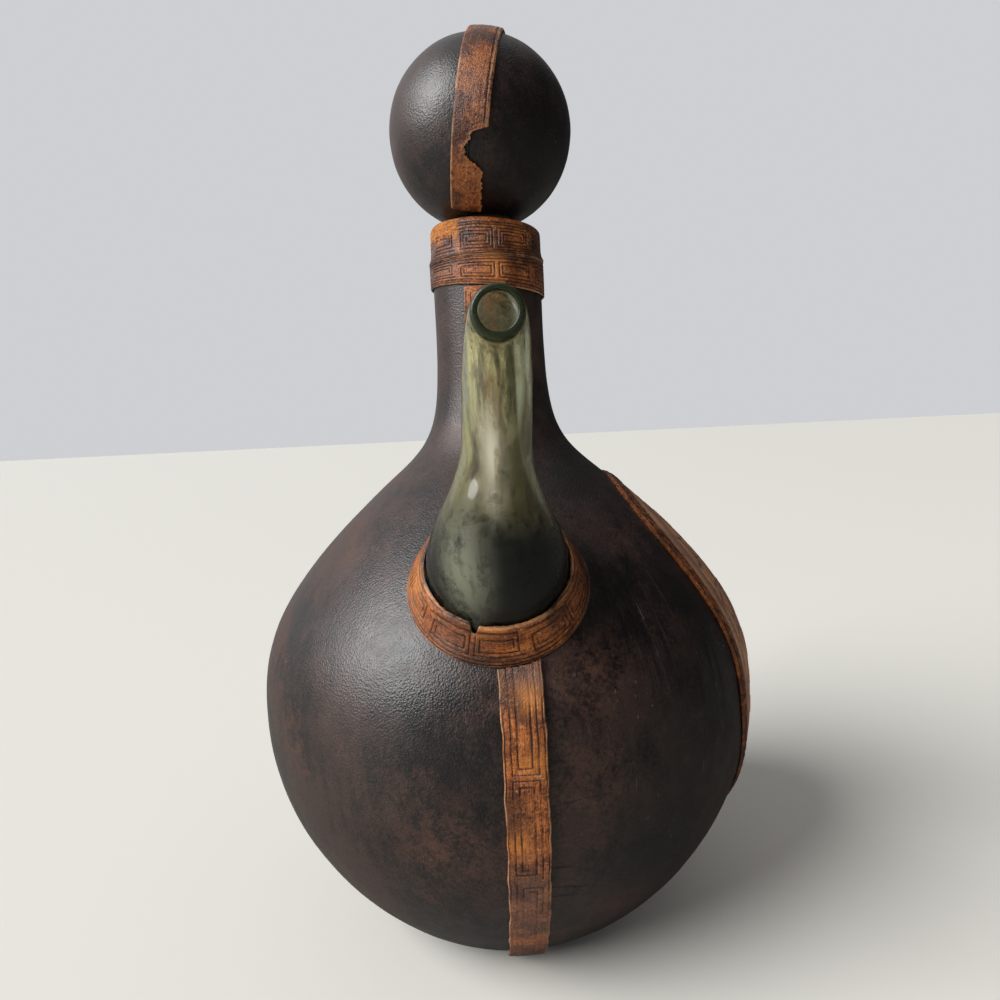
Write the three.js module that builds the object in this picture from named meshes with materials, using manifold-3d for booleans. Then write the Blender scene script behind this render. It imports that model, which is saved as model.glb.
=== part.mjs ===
// Leather-wrapped decanter: a green glass flask with a swan-neck spout, dressed in two dark leather
// halves with tan tooled strips over the seams, and closed by a leather-covered ball on a cork.
// Millimetres, +Z up. The origin is the middle of the base on the table, and the spout faces -Y.

import * as THREE from 'three';
import { mergeVertices } from 'three/addons/utils/BufferGeometryUtils.js';
import Module from 'manifold-3d';

const wasm = await Module();
wasm.setup();

const { clamp, degToRad, lerp, smoothstep } = THREE.MathUtils;

// Fits and sheet thicknesses
const CLEARANCE = 0.3;
const LEATHER = 1.6;
const STRIP = 1.2;
const STRIP_WIDTH = 11;

// Base: a leather disc over the turned-under hem
const BASE_DISC_INSET = 2.9;
const BASE_DISC_THICKNESS = 2;
const BASE_DISC_CHAMFER = 0.5;
const HEM_WIDTH = 8;

// Outline of the glass, base to lip; each rise counts from the height before it, and each reach is
// the length of a Bezier handle
const BASE_RADIUS = 38.9;
const BASE_SLOPE = degToRad(34);
const BASE_REACH = 22;
const BELLY_RADIUS = 78.4;
const BELLY_HEIGHT = 74;
const BELLY_REACH_DOWN = 31.8;
const BELLY_REACH_UP = 18.5;
const SHOULDER_RADIUS = 32.4;
const SHOULDER_RISE = 73;
const SHOULDER_SLOPE = degToRad(40);
const SHOULDER_REACH_DOWN = 59.3;
const SHOULDER_REACH_UP = 18.4;
const NECK_RADIUS = 16;
const NECK_RISE = 53;
const NECK_REACH = 36;
const NECK_BARE = 6.9;
const LIP_STEP = 0.7;
const LIP_HEIGHT = 10.5;

// Inside of the glass
const GLASS_WALL = 3;
const BORE_RADIUS = 10.5;
const FOOT_WIDTH = 12.9;
const PUNT_HEIGHT = 8;
const PUNT_CROWN_REACH = 13;
const PUNT_FOOT_REACH = 6.5;

// Spout: straight root square to the shoulder, sweep up, straight tube, bend to a level mouth
const SPOUT_RISE = 47.5;
const SPOUT_SHIFT = -0.9;
const SPOUT_ROOT_LENGTH = 6;
const SPOUT_SWEEP_RADIUS = 40;
const SPOUT_TUBE_LENGTH = 30.4;
const SPOUT_TUBE_ELEVATION = degToRad(80);
const SPOUT_CROOK_RADIUS = 2.6;
const SPOUT_DRIFT = degToRad(3.2);
const SPOUT_ROOT_RADIUS = 24;
const SPOUT_ROOT_DEPTH = 3.5;
const SPOUT_BULB_RADIUS = 18.2;
const SPOUT_THROAT = 44;
const SPOUT_TUBE_RADIUS = 8.4;
const SPOUT_MOUTH_RADIUS = 5.9;
const SPOUT_MOUTH_POWER = 3;
const SPOUT_WALL = 1.6;
const COLLAR_TOP = 10;

// Neck bands
const BAND = 0.7;
const BAND_HEIGHT = 9;
const LIP_BAND_FLARE = 0.8;
const LIP_BAND_ROUND = 2.2;
const LIP_BAND_FOLD = 1;

// Oval medallion on the +X side
const PANEL_HALF_WIDTH = 42.3;
const PANEL_HALF_HEIGHT = 58.5;
const PANEL_RISE = 14;
const PANEL_THICKNESS = 0.8;
const PANEL_BORDER = 4;
const PANEL_BORDER_THICKNESS = 1.2;

// Strips: azimuth to the right of the front
const FRONT_STRIP_TURN = degToRad(2.6);
const NECK_STRIP_TURN = degToRad(-6);

// Stopper
const BALL_RADIUS = 29.6;
const BALL_STRIP_LEAN = degToRad(9);
const BALL_STRIP_TURN = degToRad(-3);
const STOPPER_STAND = 2.4;
const CORK_LENGTH = 28;
const CORK_TAPER = 0.8;
const DOWEL_RADIUS = 3;
const DOWEL_LENGTH = 34;

// Facets
const TURNED_SEGMENTS = 36;
const OUTLINE_STEPS = 6;
const SPOUT_SIDES = 20;
const SPOUT_STEP = 4;
const PATH_STEPS = 64;
const BALL_SEGMENTS = 24;
const BALL_RINGS = 14;
const ROUND_STEPS = 3;
const PIN_SEGMENTS = 16;

// Heights and radii that follow from the sizes above
const GLASS_BOTTOM = BASE_DISC_THICKNESS + LEATHER + 2 * CLEARANCE;
const BASE_DISC_RADIUS = BASE_RADIUS - BASE_DISC_INSET;
const PUNT_RADIUS = BASE_RADIUS - FOOT_WIDTH;
const SHOULDER_HEIGHT = BELLY_HEIGHT + SHOULDER_RISE;
const NECK_HEIGHT = SHOULDER_HEIGHT + NECK_RISE;
const SPOUT_HEIGHT = BELLY_HEIGHT + SPOUT_RISE;
const SPOUT_BEND_RADIUS = SPOUT_TUBE_RADIUS + SPOUT_CROOK_RADIUS;
const PANEL_HEIGHT = BELLY_HEIGHT + PANEL_RISE;
const BAND_BOTTOM = NECK_HEIGHT + NECK_BARE;
const BAND_TOP = BAND_BOTTOM + BAND_HEIGHT;
const LIP_RADIUS = NECK_RADIUS + LIP_STEP;
const LIP_BOTTOM = BAND_TOP + CLEARANCE;
const LIP_TOP = LIP_BOTTOM + LIP_HEIGHT;
const SKIN_INNER = CLEARANCE;
const SKIN_OUTER = SKIN_INNER + LEATHER;
const TRIM_INNER = SKIN_OUTER + CLEARANCE;
const TRIM_OUTER = TRIM_INNER + STRIP;
const LIP_BAND_TOP = LIP_TOP + CLEARANCE + LIP_BAND_FOLD;
const CORK_RADIUS = BORE_RADIUS - CLEARANCE;
const SEAT_RADIUS = BORE_RADIUS + CLEARANCE;
const SEAT_DROP = Math.sqrt(BALL_RADIUS ** 2 - SEAT_RADIUS ** 2);
const BALL_CENTRE = LIP_BAND_TOP + STOPPER_STAND + SEAT_DROP;
const CORE_RADIUS = BALL_RADIUS - LEATHER - CLEARANCE;
const CORE_FLAT = Math.sqrt(CORE_RADIUS ** 2 - SEAT_RADIUS ** 2);
const FAR = 4 * (BELLY_RADIUS + LIP_TOP);

// Solids from closed geometry, and back

function solid(geometry) {
  geometry.deleteAttribute('normal');
  geometry.deleteAttribute('uv');
  const merged = mergeVertices(geometry);
  const index = merged.index.array;
  const triangles = [];
  for (let i = 0; i < index.length; i += 3) {
    const [a, b, c] = [index[i], index[i + 1], index[i + 2]];
    if (a !== b && b !== c && c !== a) {
      triangles.push(a, b, c);
    }
  }
  return new wasm.Manifold(new wasm.Mesh({
    numProp: 3,
    vertProperties: new Float32Array(merged.attributes.position.array),
    triVerts: new Uint32Array(triangles),
  }));
}

function geometryOf(body) {
  const mesh = body.getMesh();
  const geometry = new THREE.BufferGeometry();
  geometry.setAttribute('position', new THREE.BufferAttribute(mesh.vertProperties, 3));
  geometry.setIndex(new THREE.BufferAttribute(mesh.triVerts, 1));
  geometry.computeVertexNormals();
  return geometry;
}

// Revolves a profile of [radius, height] points about Z.
function turned(points, segments = TURNED_SEGMENTS) {
  const profile = points.map(([r, z]) => new THREE.Vector2(r, z));
  return solid(new THREE.LatheGeometry(profile, segments).rotateX(Math.PI / 2));
}

// Revolves the wall between two profiles that run the same way.
function turnedWall(inner, outer) {
  return turned([...outer, ...[...inner].reverse(), outer[0]]);
}

function block(min, max) {
  const size = new THREE.Vector3().subVectors(max, min);
  const centre = new THREE.Vector3().addVectors(min, max).multiplyScalar(0.5);
  return new THREE.BoxGeometry(size.x, size.y, size.z).translate(centre.x, centre.y, centre.z);
}

// Everything between two heights.
function layer(bottom, top) {
  return solid(block(new THREE.Vector3(-FAR, -FAR, bottom), new THREE.Vector3(FAR, FAR, top)));
}

// Everything on one side of the seam plane, which stands half a clearance off it.
function seamSide(side, lean = 0, turn = 0) {
  const near = side * CLEARANCE / 2;
  const [left, right] = [Math.min(near, side * FAR), Math.max(near, side * FAR)];
  const half = block(new THREE.Vector3(left, -FAR, -FAR), new THREE.Vector3(right, FAR, FAR));
  return solid(half.rotateY(lean).rotateZ(turn));
}

// A slab of one strip's width that stands in the seam plane, from the axis to the front or back.
function stripSlab(turn, frontEnd, backEnd, lean = 0) {
  const min = new THREE.Vector3(-STRIP_WIDTH / 2, frontEnd, -FAR);
  const max = new THREE.Vector3(STRIP_WIDTH / 2, backEnd, FAR);
  return solid(block(min, max).rotateY(lean).rotateZ(turn));
}

// Outline of the glass

function bezier(start, startHandle, endHandle, end, steps = OUTLINE_STEPS) {
  const curve = new THREE.CubicBezierCurve(
    new THREE.Vector2(...start),
    new THREE.Vector2(start[0] + startHandle[0], start[1] + startHandle[1]),
    new THREE.Vector2(end[0] + endHandle[0], end[1] + endHandle[1]),
    new THREE.Vector2(...end),
  );
  return curve.getPoints(steps).map((point) => [point.x, point.y]);
}

function polar(length, angle) {
  return [length * Math.cos(angle), length * Math.sin(angle)];
}

// Hem edge under the base, base corner, belly, shoulder and neck, up to the lip.
function glassOutline() {
  const base = [BASE_RADIUS, GLASS_BOTTOM];
  const belly = [BELLY_RADIUS, BELLY_HEIGHT];
  const shoulder = [SHOULDER_RADIUS, SHOULDER_HEIGHT];
  const neck = [NECK_RADIUS, NECK_HEIGHT];
  const inwards = Math.PI - SHOULDER_SLOPE;
  const lower = bezier(base, polar(BASE_REACH, BASE_SLOPE), [0, -BELLY_REACH_DOWN], belly);
  const upper = bezier(belly, [0, BELLY_REACH_UP], polar(-SHOULDER_REACH_DOWN, inwards), shoulder);
  const sweep = bezier(shoulder, polar(SHOULDER_REACH_UP, inwards), [0, -NECK_REACH], neck);
  return [
    [BASE_RADIUS - HEM_WIDTH, GLASS_BOTTOM],
    ...lower,
    ...upper.slice(1),
    ...sweep.slice(1),
    [NECK_RADIUS, BAND_TOP],
  ];
}

const OUTLINE = glassOutline();

function segmentNormal(from, to) {
  const [dr, dz] = [to[0] - from[0], to[1] - from[1]];
  const length = Math.hypot(dr, dz);
  return [dz / length, -dr / length];
}

// Moves an outline outwards along its mitred normals; distance may vary from point to point.
function offsetOutline(outline, distance) {
  return outline.map((point, i) => {
    const before = i > 0 ? segmentNormal(outline[i - 1], point) : null;
    const after = i < outline.length - 1 ? segmentNormal(point, outline[i + 1]) : null;
    const [a, b] = [before ?? after, after ?? before];
    const reach = distance(point) / (1 + a[0] * b[0] + a[1] * b[1]);
    return [point[0] + reach * (a[0] + b[0]), point[1] + reach * (a[1] + b[1])];
  });
}

// A layer of sheet that lies on the outline, between two distances from the glass.
function sheet(inner, outer) {
  return turnedWall(offsetOutline(OUTLINE, () => inner), offsetOutline(OUTLINE, () => outer));
}

// The whole body out to a distance from the glass, as one lump to cut with.
function lump(distance) {
  const skin = offsetOutline(OUTLINE, () => distance);
  return turned([[0, skin[0][1]], ...skin, [0, skin.at(-1)[1]]]);
}

// Where the outline passes a height, with its normal there.
function outlineAt(height) {
  const i = OUTLINE.findIndex((point, k) => k > 1 && point[1] >= height);
  const [low, high] = [OUTLINE[i - 1], OUTLINE[i]];
  const share = (height - low[1]) / (high[1] - low[1]);
  return { radius: lerp(low[0], high[0], share), normal: segmentNormal(low, high) };
}

// Spout

const root = outlineAt(SPOUT_HEIGHT);
const ROOT_POINT = new THREE.Vector3(SPOUT_SHIFT, -root.radius, SPOUT_HEIGHT);
const ROOT_ELEVATION = Math.atan2(root.normal[1], root.normal[0]);
const SWEEP_LENGTH = SPOUT_SWEEP_RADIUS * (SPOUT_TUBE_ELEVATION - ROOT_ELEVATION);
const BEND_LENGTH = SPOUT_BEND_RADIUS * SPOUT_TUBE_ELEVATION;
const BEND_START = SPOUT_ROOT_LENGTH + SWEEP_LENGTH + SPOUT_TUBE_LENGTH;
const SPOUT_LENGTH = BEND_START + BEND_LENGTH;
const SPOUT_BURIAL = SPOUT_ROOT_DEPTH + GLASS_WALL + TRIM_OUTER;

// Direction of the spout at a length along it; it runs on straight past both ends.
function spoutAxis(along) {
  const sweep = clamp((along - SPOUT_ROOT_LENGTH) / SWEEP_LENGTH, 0, 1);
  const bend = clamp((along - BEND_START) / BEND_LENGTH, 0, 1);
  const elevation = lerp(ROOT_ELEVATION, SPOUT_TUBE_ELEVATION, sweep) * (1 - bend);
  const axis = new THREE.Vector3(0, -Math.cos(elevation), Math.sin(elevation));
  return axis.applyAxisAngle(new THREE.Vector3(0, 1, 0), SPOUT_DRIFT * sweep);
}

// Centre of the spout at a length along it, summed over short steps from the root.
function spoutCentre(along) {
  const centre = ROOT_POINT.clone();
  const step = along / PATH_STEPS;
  for (let i = 0; i < PATH_STEPS; i += 1) {
    centre.addScaledVector(spoutAxis((i + 0.5) * step), step);
  }
  return centre;
}

// Outer radius of the spout: a skirt up to the collar's edge, a bulb that draws in to the throat,
// and a tube that narrows to the mouth.
function spoutRadius(along) {
  const skirt = clamp((along + SPOUT_ROOT_DEPTH) / (COLLAR_TOP + SPOUT_ROOT_DEPTH), 0, 1);
  const throat = smoothstep(along, COLLAR_TOP, SPOUT_THROAT);
  const narrowing = clamp((along - SPOUT_THROAT) / (SPOUT_LENGTH - SPOUT_THROAT), 0, 1);
  const flare = lerp(lerp(SPOUT_ROOT_RADIUS, SPOUT_BULB_RADIUS, skirt), SPOUT_TUBE_RADIUS, throat);
  return flare - (SPOUT_TUBE_RADIUS - SPOUT_MOUTH_RADIUS) * narrowing ** SPOUT_MOUTH_POWER;
}

// Lengths at which the spout has a ring; every tube shares them between its own two ends.
function spoutRings(from, to) {
  const rings = [from];
  for (let along = (Math.floor(from / SPOUT_STEP) + 1) * SPOUT_STEP; along < to; along += SPOUT_STEP) {
    rings.push(along);
  }
  return [...rings, to];
}

// A closed tube along the spout, grown or shrunk from the outer radius.
function spoutTube(from, to, growth) {
  const positions = [];
  const index = [];
  const side = new THREE.Vector3(1, 0, 0);
  const rings = spoutRings(from, to);
  for (const along of rings) {
    const centre = spoutCentre(along);
    const axis = spoutAxis(along);
    const across = side.clone().addScaledVector(axis, -side.dot(axis)).normalize();
    const over = new THREE.Vector3().crossVectors(axis, across);
    const radius = spoutRadius(along) + growth;
    for (let k = 0; k < SPOUT_SIDES; k += 1) {
      const angle = 2 * Math.PI * k / SPOUT_SIDES;
      const point = centre.clone()
        .addScaledVector(across, radius * Math.cos(angle))
        .addScaledVector(over, radius * Math.sin(angle));
      positions.push(point.x, point.y, point.z);
    }
  }
  for (let ring = 0; ring < rings.length - 1; ring += 1) {
    for (let k = 0; k < SPOUT_SIDES; k += 1) {
      const a = ring * SPOUT_SIDES + k;
      const b = ring * SPOUT_SIDES + (k + 1) % SPOUT_SIDES;
      index.push(a, b, b + SPOUT_SIDES, a, b + SPOUT_SIDES, a + SPOUT_SIDES);
    }
  }
  const last = (rings.length - 1) * SPOUT_SIDES;
  for (let k = 1; k < SPOUT_SIDES - 1; k += 1) {
    index.push(0, k + 1, k, last, last + k, last + k + 1);
  }
  const geometry = new THREE.BufferGeometry();
  geometry.setAttribute('position', new THREE.Float32BufferAttribute(positions, 3));
  geometry.setIndex(index);
  return solid(geometry);
}

// Flask pieces

function glassFlask() {
  const crown = [0, GLASS_BOTTOM + PUNT_HEIGHT];
  const foot = [PUNT_RADIUS, GLASS_BOTTOM];
  const punt = bezier(crown, [PUNT_CROWN_REACH, 0], [-PUNT_FOOT_REACH, 0], foot, ROUND_STEPS);
  const outside = turned([
    ...punt,
    ...OUTLINE.slice(1),
    [NECK_RADIUS, LIP_BOTTOM],
    [LIP_RADIUS, LIP_BOTTOM],
    [LIP_RADIUS, LIP_TOP],
    [0, LIP_TOP],
  ]);
  const neckWall = NECK_RADIUS - BORE_RADIUS;
  const wallAt = ([, z]) => lerp(GLASS_WALL, neckWall, smoothstep(z, SHOULDER_HEIGHT, NECK_HEIGHT));
  const inside = turned([
    ...punt.map(([r, z]) => [r, z + GLASS_WALL]),
    ...offsetOutline(OUTLINE, (point) => -wallAt(point)).slice(1),
    [BORE_RADIUS, LIP_TOP + CLEARANCE],
    [0, LIP_TOP + CLEARANCE],
  ]);
  return outside
    .add(spoutTube(-SPOUT_BURIAL, SPOUT_LENGTH, 0))
    .subtract(inside)
    .subtract(spoutTube(-2 * SPOUT_BURIAL, SPOUT_LENGTH + CLEARANCE, -SPOUT_WALL));
}

function bodyLeather(side) {
  return sheet(SKIN_INNER, SKIN_OUTER)
    .subtract(spoutTube(-SPOUT_BURIAL, SPOUT_THROAT, CLEARANCE))
    .intersect(seamSide(side));
}

function spoutCollar() {
  return spoutTube(-SPOUT_BURIAL, COLLAR_TOP, CLEARANCE + STRIP)
    .subtract(spoutTube(-2 * SPOUT_BURIAL, 2 * COLLAR_TOP, CLEARANCE))
    .subtract(lump(TRIM_INNER));
}

// A strip on the seam between two heights, trimmed back from the spout's collar.
function seamStrip(turn, frontEnd, backEnd, bottom, top) {
  return sheet(TRIM_INNER, TRIM_OUTER)
    .intersect(stripSlab(turn, frontEnd, backEnd))
    .intersect(layer(bottom, top))
    .subtract(spoutTube(-SPOUT_BURIAL, SPOUT_THROAT, CLEARANCE + STRIP + CLEARANCE));
}

const STRIP_BOTTOM = BASE_DISC_THICKNESS + CLEARANCE;
const STRIP_TOP = BAND_BOTTOM - CLEARANCE;

function neckBandLower() {
  const inner = NECK_RADIUS + TRIM_INNER;
  const outer = inner + BAND;
  const edge = BAND / 2;
  return turned([
    [inner, BAND_BOTTOM],
    [outer - edge, BAND_BOTTOM],
    [outer, BAND_BOTTOM + edge],
    [outer, BAND_TOP - edge],
    [outer - edge, BAND_TOP],
    [inner, BAND_TOP],
    [inner, BAND_BOTTOM],
  ]);
}

// Band folded over the lip, with a thick lower edge that overhangs the band below.
function neckBandUpper() {
  const inner = LIP_RADIUS + CLEARANCE;
  const outer = inner + STRIP;
  const side = [outer, LIP_BAND_TOP - LIP_BAND_ROUND];
  const top = [outer - LIP_BAND_ROUND, LIP_BAND_TOP];
  const handle = LIP_BAND_ROUND / 2;
  const crown = bezier(side, [0, handle], [handle, 0], top, ROUND_STEPS);
  return turned([
    [inner, LIP_BOTTOM],
    [outer + LIP_BAND_FLARE, LIP_BOTTOM],
    [outer + LIP_BAND_FLARE, LIP_BOTTOM + STRIP],
    [outer, LIP_BOTTOM + LIP_HEIGHT / 2],
    ...crown,
    [SEAT_RADIUS, LIP_BAND_TOP],
    [SEAT_RADIUS, LIP_TOP + CLEARANCE],
    [inner, LIP_TOP + CLEARANCE],
    [inner, LIP_BOTTOM],
  ]);
}

// Oval cutter along X, from the axis outwards on the panel's side.
function panelCutter(inset) {
  const oval = new THREE.CylinderGeometry(1, 1, FAR, TURNED_SEGMENTS).rotateZ(-Math.PI / 2);
  oval.scale(1, PANEL_HALF_WIDTH - inset, PANEL_HALF_HEIGHT - inset);
  return solid(oval.translate(FAR / 2, 0, PANEL_HEIGHT));
}

function sidePanel() {
  return sheet(TRIM_INNER, TRIM_INNER + PANEL_THICKNESS).intersect(panelCutter(PANEL_BORDER + CLEARANCE));
}

function sidePanelBorder() {
  return sheet(TRIM_INNER, TRIM_INNER + PANEL_BORDER_THICKNESS)
    .intersect(panelCutter(0))
    .subtract(panelCutter(PANEL_BORDER));
}

function baseDisc() {
  return turned([
    [0, 0],
    [BASE_DISC_RADIUS - BASE_DISC_CHAMFER, 0],
    [BASE_DISC_RADIUS, BASE_DISC_CHAMFER],
    [BASE_DISC_RADIUS, BASE_DISC_THICKNESS],
    [0, BASE_DISC_THICKNESS],
  ]);
}

// Stopper pieces, about the ball's centre

function ball(radius) {
  return solid(new THREE.SphereGeometry(radius, BALL_SEGMENTS, BALL_RINGS).rotateX(Math.PI / 2));
}

function pin(radius, bottom, top, segments) {
  return turned([[0, bottom], [radius, bottom], [radius, top], [0, top]], segments);
}

const CORK_TOP = -CORE_FLAT - CLEARANCE;
const CORK_BOTTOM = CORK_TOP - CORK_LENGTH;
const DOWEL_BOTTOM = CORK_TOP - DOWEL_LENGTH / 2;
const DOWEL_TOP = CORK_TOP + DOWEL_LENGTH / 2;
const DOWEL_HOLE = DOWEL_RADIUS + CLEARANCE;

function stopperCore() {
  return ball(CORE_RADIUS)
    .subtract(layer(-FAR, -CORE_FLAT))
    .subtract(pin(DOWEL_HOLE, -FAR, DOWEL_TOP + CLEARANCE, PIN_SEGMENTS));
}

function stopperLeather(side) {
  return ball(BALL_RADIUS)
    .subtract(ball(BALL_RADIUS - LEATHER))
    .subtract(pin(BORE_RADIUS, -FAR, 0, TURNED_SEGMENTS))
    .intersect(seamSide(side, BALL_STRIP_LEAN, BALL_STRIP_TURN));
}

// Strip over the ball from one side of its seat to the other.
function stopperStrip() {
  const foot = STRIP - SEAT_DROP;
  return ball(BALL_RADIUS + CLEARANCE + STRIP)
    .subtract(ball(BALL_RADIUS + CLEARANCE))
    .intersect(stripSlab(BALL_STRIP_TURN, -FAR, FAR, BALL_STRIP_LEAN))
    .intersect(layer(foot, FAR));
}

function stopperCork() {
  const hole = pin(DOWEL_HOLE, DOWEL_BOTTOM - CLEARANCE, FAR, PIN_SEGMENTS);
  return turned([
    [0, CORK_BOTTOM],
    [CORK_RADIUS - CORK_TAPER, CORK_BOTTOM],
    [CORK_RADIUS, CORK_TOP],
    [0, CORK_TOP],
  ]).subtract(hole);
}

function stopperDowel() {
  return pin(DOWEL_RADIUS, DOWEL_BOTTOM, DOWEL_TOP, PIN_SEGMENTS);
}

// Finishes
const GLASS = { color: 0x5f7a5c, roughness: 0.12, metalness: 0 };
const DARK_LEATHER = { color: 0x1d1412, roughness: 0.42, metalness: 0 };
const TAN_LEATHER = { color: 0x8a5a2e, roughness: 0.55, metalness: 0 };
const PANEL_LEATHER = { color: 0x9a7a50, roughness: 0.6, metalness: 0 };
const BASE_LEATHER = { color: 0x2a1c14, roughness: 0.8, metalness: 0 };
const WOOD = { color: 0xa88458, roughness: 0.7, metalness: 0 };
const CORK = { color: 0xb98d5e, roughness: 0.85, metalness: 0 };

function piece(name, body, finish) {
  const mesh = new THREE.Mesh(geometryOf(body), new THREE.MeshStandardMaterial(finish));
  mesh.name = name;
  return mesh;
}

const flask = new THREE.Group();
flask.add(
  piece('glass_flask', glassFlask(), GLASS),
  piece('body_leather_left', bodyLeather(-1), DARK_LEATHER),
  piece('body_leather_right', bodyLeather(1), DARK_LEATHER),
  piece('front_strip', seamStrip(FRONT_STRIP_TURN, -FAR, 0, STRIP_BOTTOM, SPOUT_HEIGHT), TAN_LEATHER),
  piece('neck_strip', seamStrip(NECK_STRIP_TURN, -FAR, 0, SPOUT_HEIGHT, STRIP_TOP), TAN_LEATHER),
  piece('back_strip', seamStrip(0, 0, FAR, STRIP_BOTTOM, STRIP_TOP), TAN_LEATHER),
  piece('spout_collar', spoutCollar(), TAN_LEATHER),
  piece('neck_band_lower', neckBandLower(), TAN_LEATHER),
  piece('neck_band_upper', neckBandUpper(), TAN_LEATHER),
  piece('side_panel', sidePanel(), PANEL_LEATHER),
  piece('side_panel_border', sidePanelBorder(), TAN_LEATHER),
  piece('base_disc', baseDisc(), BASE_LEATHER),
);

const stopper = new THREE.Group();
stopper.position.z = BALL_CENTRE;
stopper.add(
  piece('stopper_core', stopperCore(), WOOD),
  piece('stopper_leather_left', stopperLeather(-1), DARK_LEATHER),
  piece('stopper_leather_right', stopperLeather(1), DARK_LEATHER),
  piece('stopper_strip', stopperStrip(), TAN_LEATHER),
  piece('stopper_cork', stopperCork(), CORK),
  piece('stopper_dowel', stopperDowel(), WOOD),
);

const decanter = new THREE.Group();
decanter.add(flask, stopper);

export default decanter;
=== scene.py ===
"""Looks of a leather-wrapped decanter: green glass, dark leather, tan tooled strips and a ball stopper."""

import logging
import math
from dataclasses import dataclass, field
from enum import Enum
from functools import cached_property, reduce
from typing import Callable, Sequence

import bpy
import numpy as np
from mathutils import Matrix, Vector


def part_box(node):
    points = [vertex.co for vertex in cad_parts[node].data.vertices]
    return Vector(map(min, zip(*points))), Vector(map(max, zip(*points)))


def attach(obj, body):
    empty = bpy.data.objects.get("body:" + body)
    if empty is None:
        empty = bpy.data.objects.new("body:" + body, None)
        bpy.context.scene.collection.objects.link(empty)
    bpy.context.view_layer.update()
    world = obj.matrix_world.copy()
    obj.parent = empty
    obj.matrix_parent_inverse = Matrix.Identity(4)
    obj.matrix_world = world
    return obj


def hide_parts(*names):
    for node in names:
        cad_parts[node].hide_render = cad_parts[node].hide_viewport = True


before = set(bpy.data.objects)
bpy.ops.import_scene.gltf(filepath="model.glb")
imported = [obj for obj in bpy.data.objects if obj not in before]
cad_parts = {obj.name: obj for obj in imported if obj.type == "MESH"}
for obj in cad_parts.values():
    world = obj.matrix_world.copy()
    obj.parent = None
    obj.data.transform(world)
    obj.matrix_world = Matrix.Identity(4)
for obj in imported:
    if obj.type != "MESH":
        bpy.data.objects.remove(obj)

LOG = logging.getLogger("decanter")
MM = 0.001
TURN = 2 * math.pi

SHARP = math.radians(40)
BEVELLED = math.radians(50)
WELD = 0.001 * MM

Array = np.ndarray
Color = tuple[float, float, float, float]
Material = bpy.types.Material
Piece = bpy.types.Object
Spots = tuple[tuple[tuple[float, float, float], float], ...]


class Body(Enum):
    """The bodies that pieces ride on."""

    FLASK = "flask"
    CORK = "cork"
    BALL = "ball"


class Slot(Enum):
    """The record's material slots of the modelled pieces."""

    GLASS = "glass"
    DARK = "dark_leather"
    TAN = "tan_leather"
    PANEL = "panel_leather"
    BASE = "base_leather"
    CORK = "cork"


class Mark(Enum):
    """Values kept on a sheet's points for its finish to read."""

    TOOLING = "tooling"
    EDGE = "edge"
    WORN = "worn"
    TINT = "tint"


Marks = dict[Mark, Array]
Place = Callable[[Array, Array], tuple[Array, Marks]]
Design = Callable[[Array, Array], tuple[Marks, Array]]

# Numbers and curves


def smooth(value: Array, low: float, high: float) -> Array:
    """Eases from 0 at low to 1 at high.

    Args:
        value: What is eased.
        low: Where the ease starts.
        high: Where it ends.

    Returns:
        The eased share of each value.
    """
    share = np.clip((value - low) / (high - low), 0, 1)
    return share * share * (3 - 2 * share)


def ripple(along: Array, across: Array, length: float, seed: float) -> Array:
    """Gives a smooth wander between -1 and 1, the same on every run.

    Args:
        along: First coordinate of each point.
        across: Second coordinate of each point.
        length: Size of the largest wave, in the coordinates' unit.
        seed: Shifts the waves, so that pieces differ.

    Returns:
        The wander at each point.
    """
    a, b = along * TURN / length, across * TURN / length
    waves = np.sin(a + 1.3 * seed) * np.cos(0.7 * b - seed)
    waves = waves + 0.6 * np.sin(2.3 * a - 1.1 * b + 2.1 * seed)
    waves = waves + 0.4 * np.sin(4.1 * a + 1.7 * b + 0.7 * seed) * np.cos(2.9 * b + seed)
    return waves / 2


def bezier(start: Sequence[float], out: Sequence[float], back: Sequence[float], end: Sequence[float],
           steps: int) -> Array:
    """Samples a cubic Bezier curve whose handles are given from their own ends.

    Args:
        start: First point.
        out: Handle that leaves the first point.
        back: Handle that leaves the last point, backwards.
        end: Last point.
        steps: How many pieces the curve is cut into.

    Returns:
        One row for each point.
    """
    a, d = np.array(start, float), np.array(end, float)
    b, c = a + np.array(out, float), d + np.array(back, float)
    t = np.linspace(0, 1, steps + 1)[:, None]
    return (1 - t) ** 3 * a + 3 * t * (1 - t) ** 2 * b + 3 * t * t * (1 - t) * c + t ** 3 * d


def normals_of(line: Array) -> Array:
    """Gives the outward normals of a profile that runs upwards.

    Args:
        line: Points of (radius, height).

    Returns:
        One unit normal for each point.
    """
    slope = np.gradient(line, axis=0)
    normal = np.column_stack([slope[:, 1], -slope[:, 0]])
    return normal / np.linalg.norm(normal, axis=1)[:, None]


def lengths_of(line: Array) -> Array:
    """Gives how far along a line each of its points lies."""
    return np.concatenate([[0], np.cumsum(np.linalg.norm(np.diff(line, axis=0), axis=1))])


# Modelling steps


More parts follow.
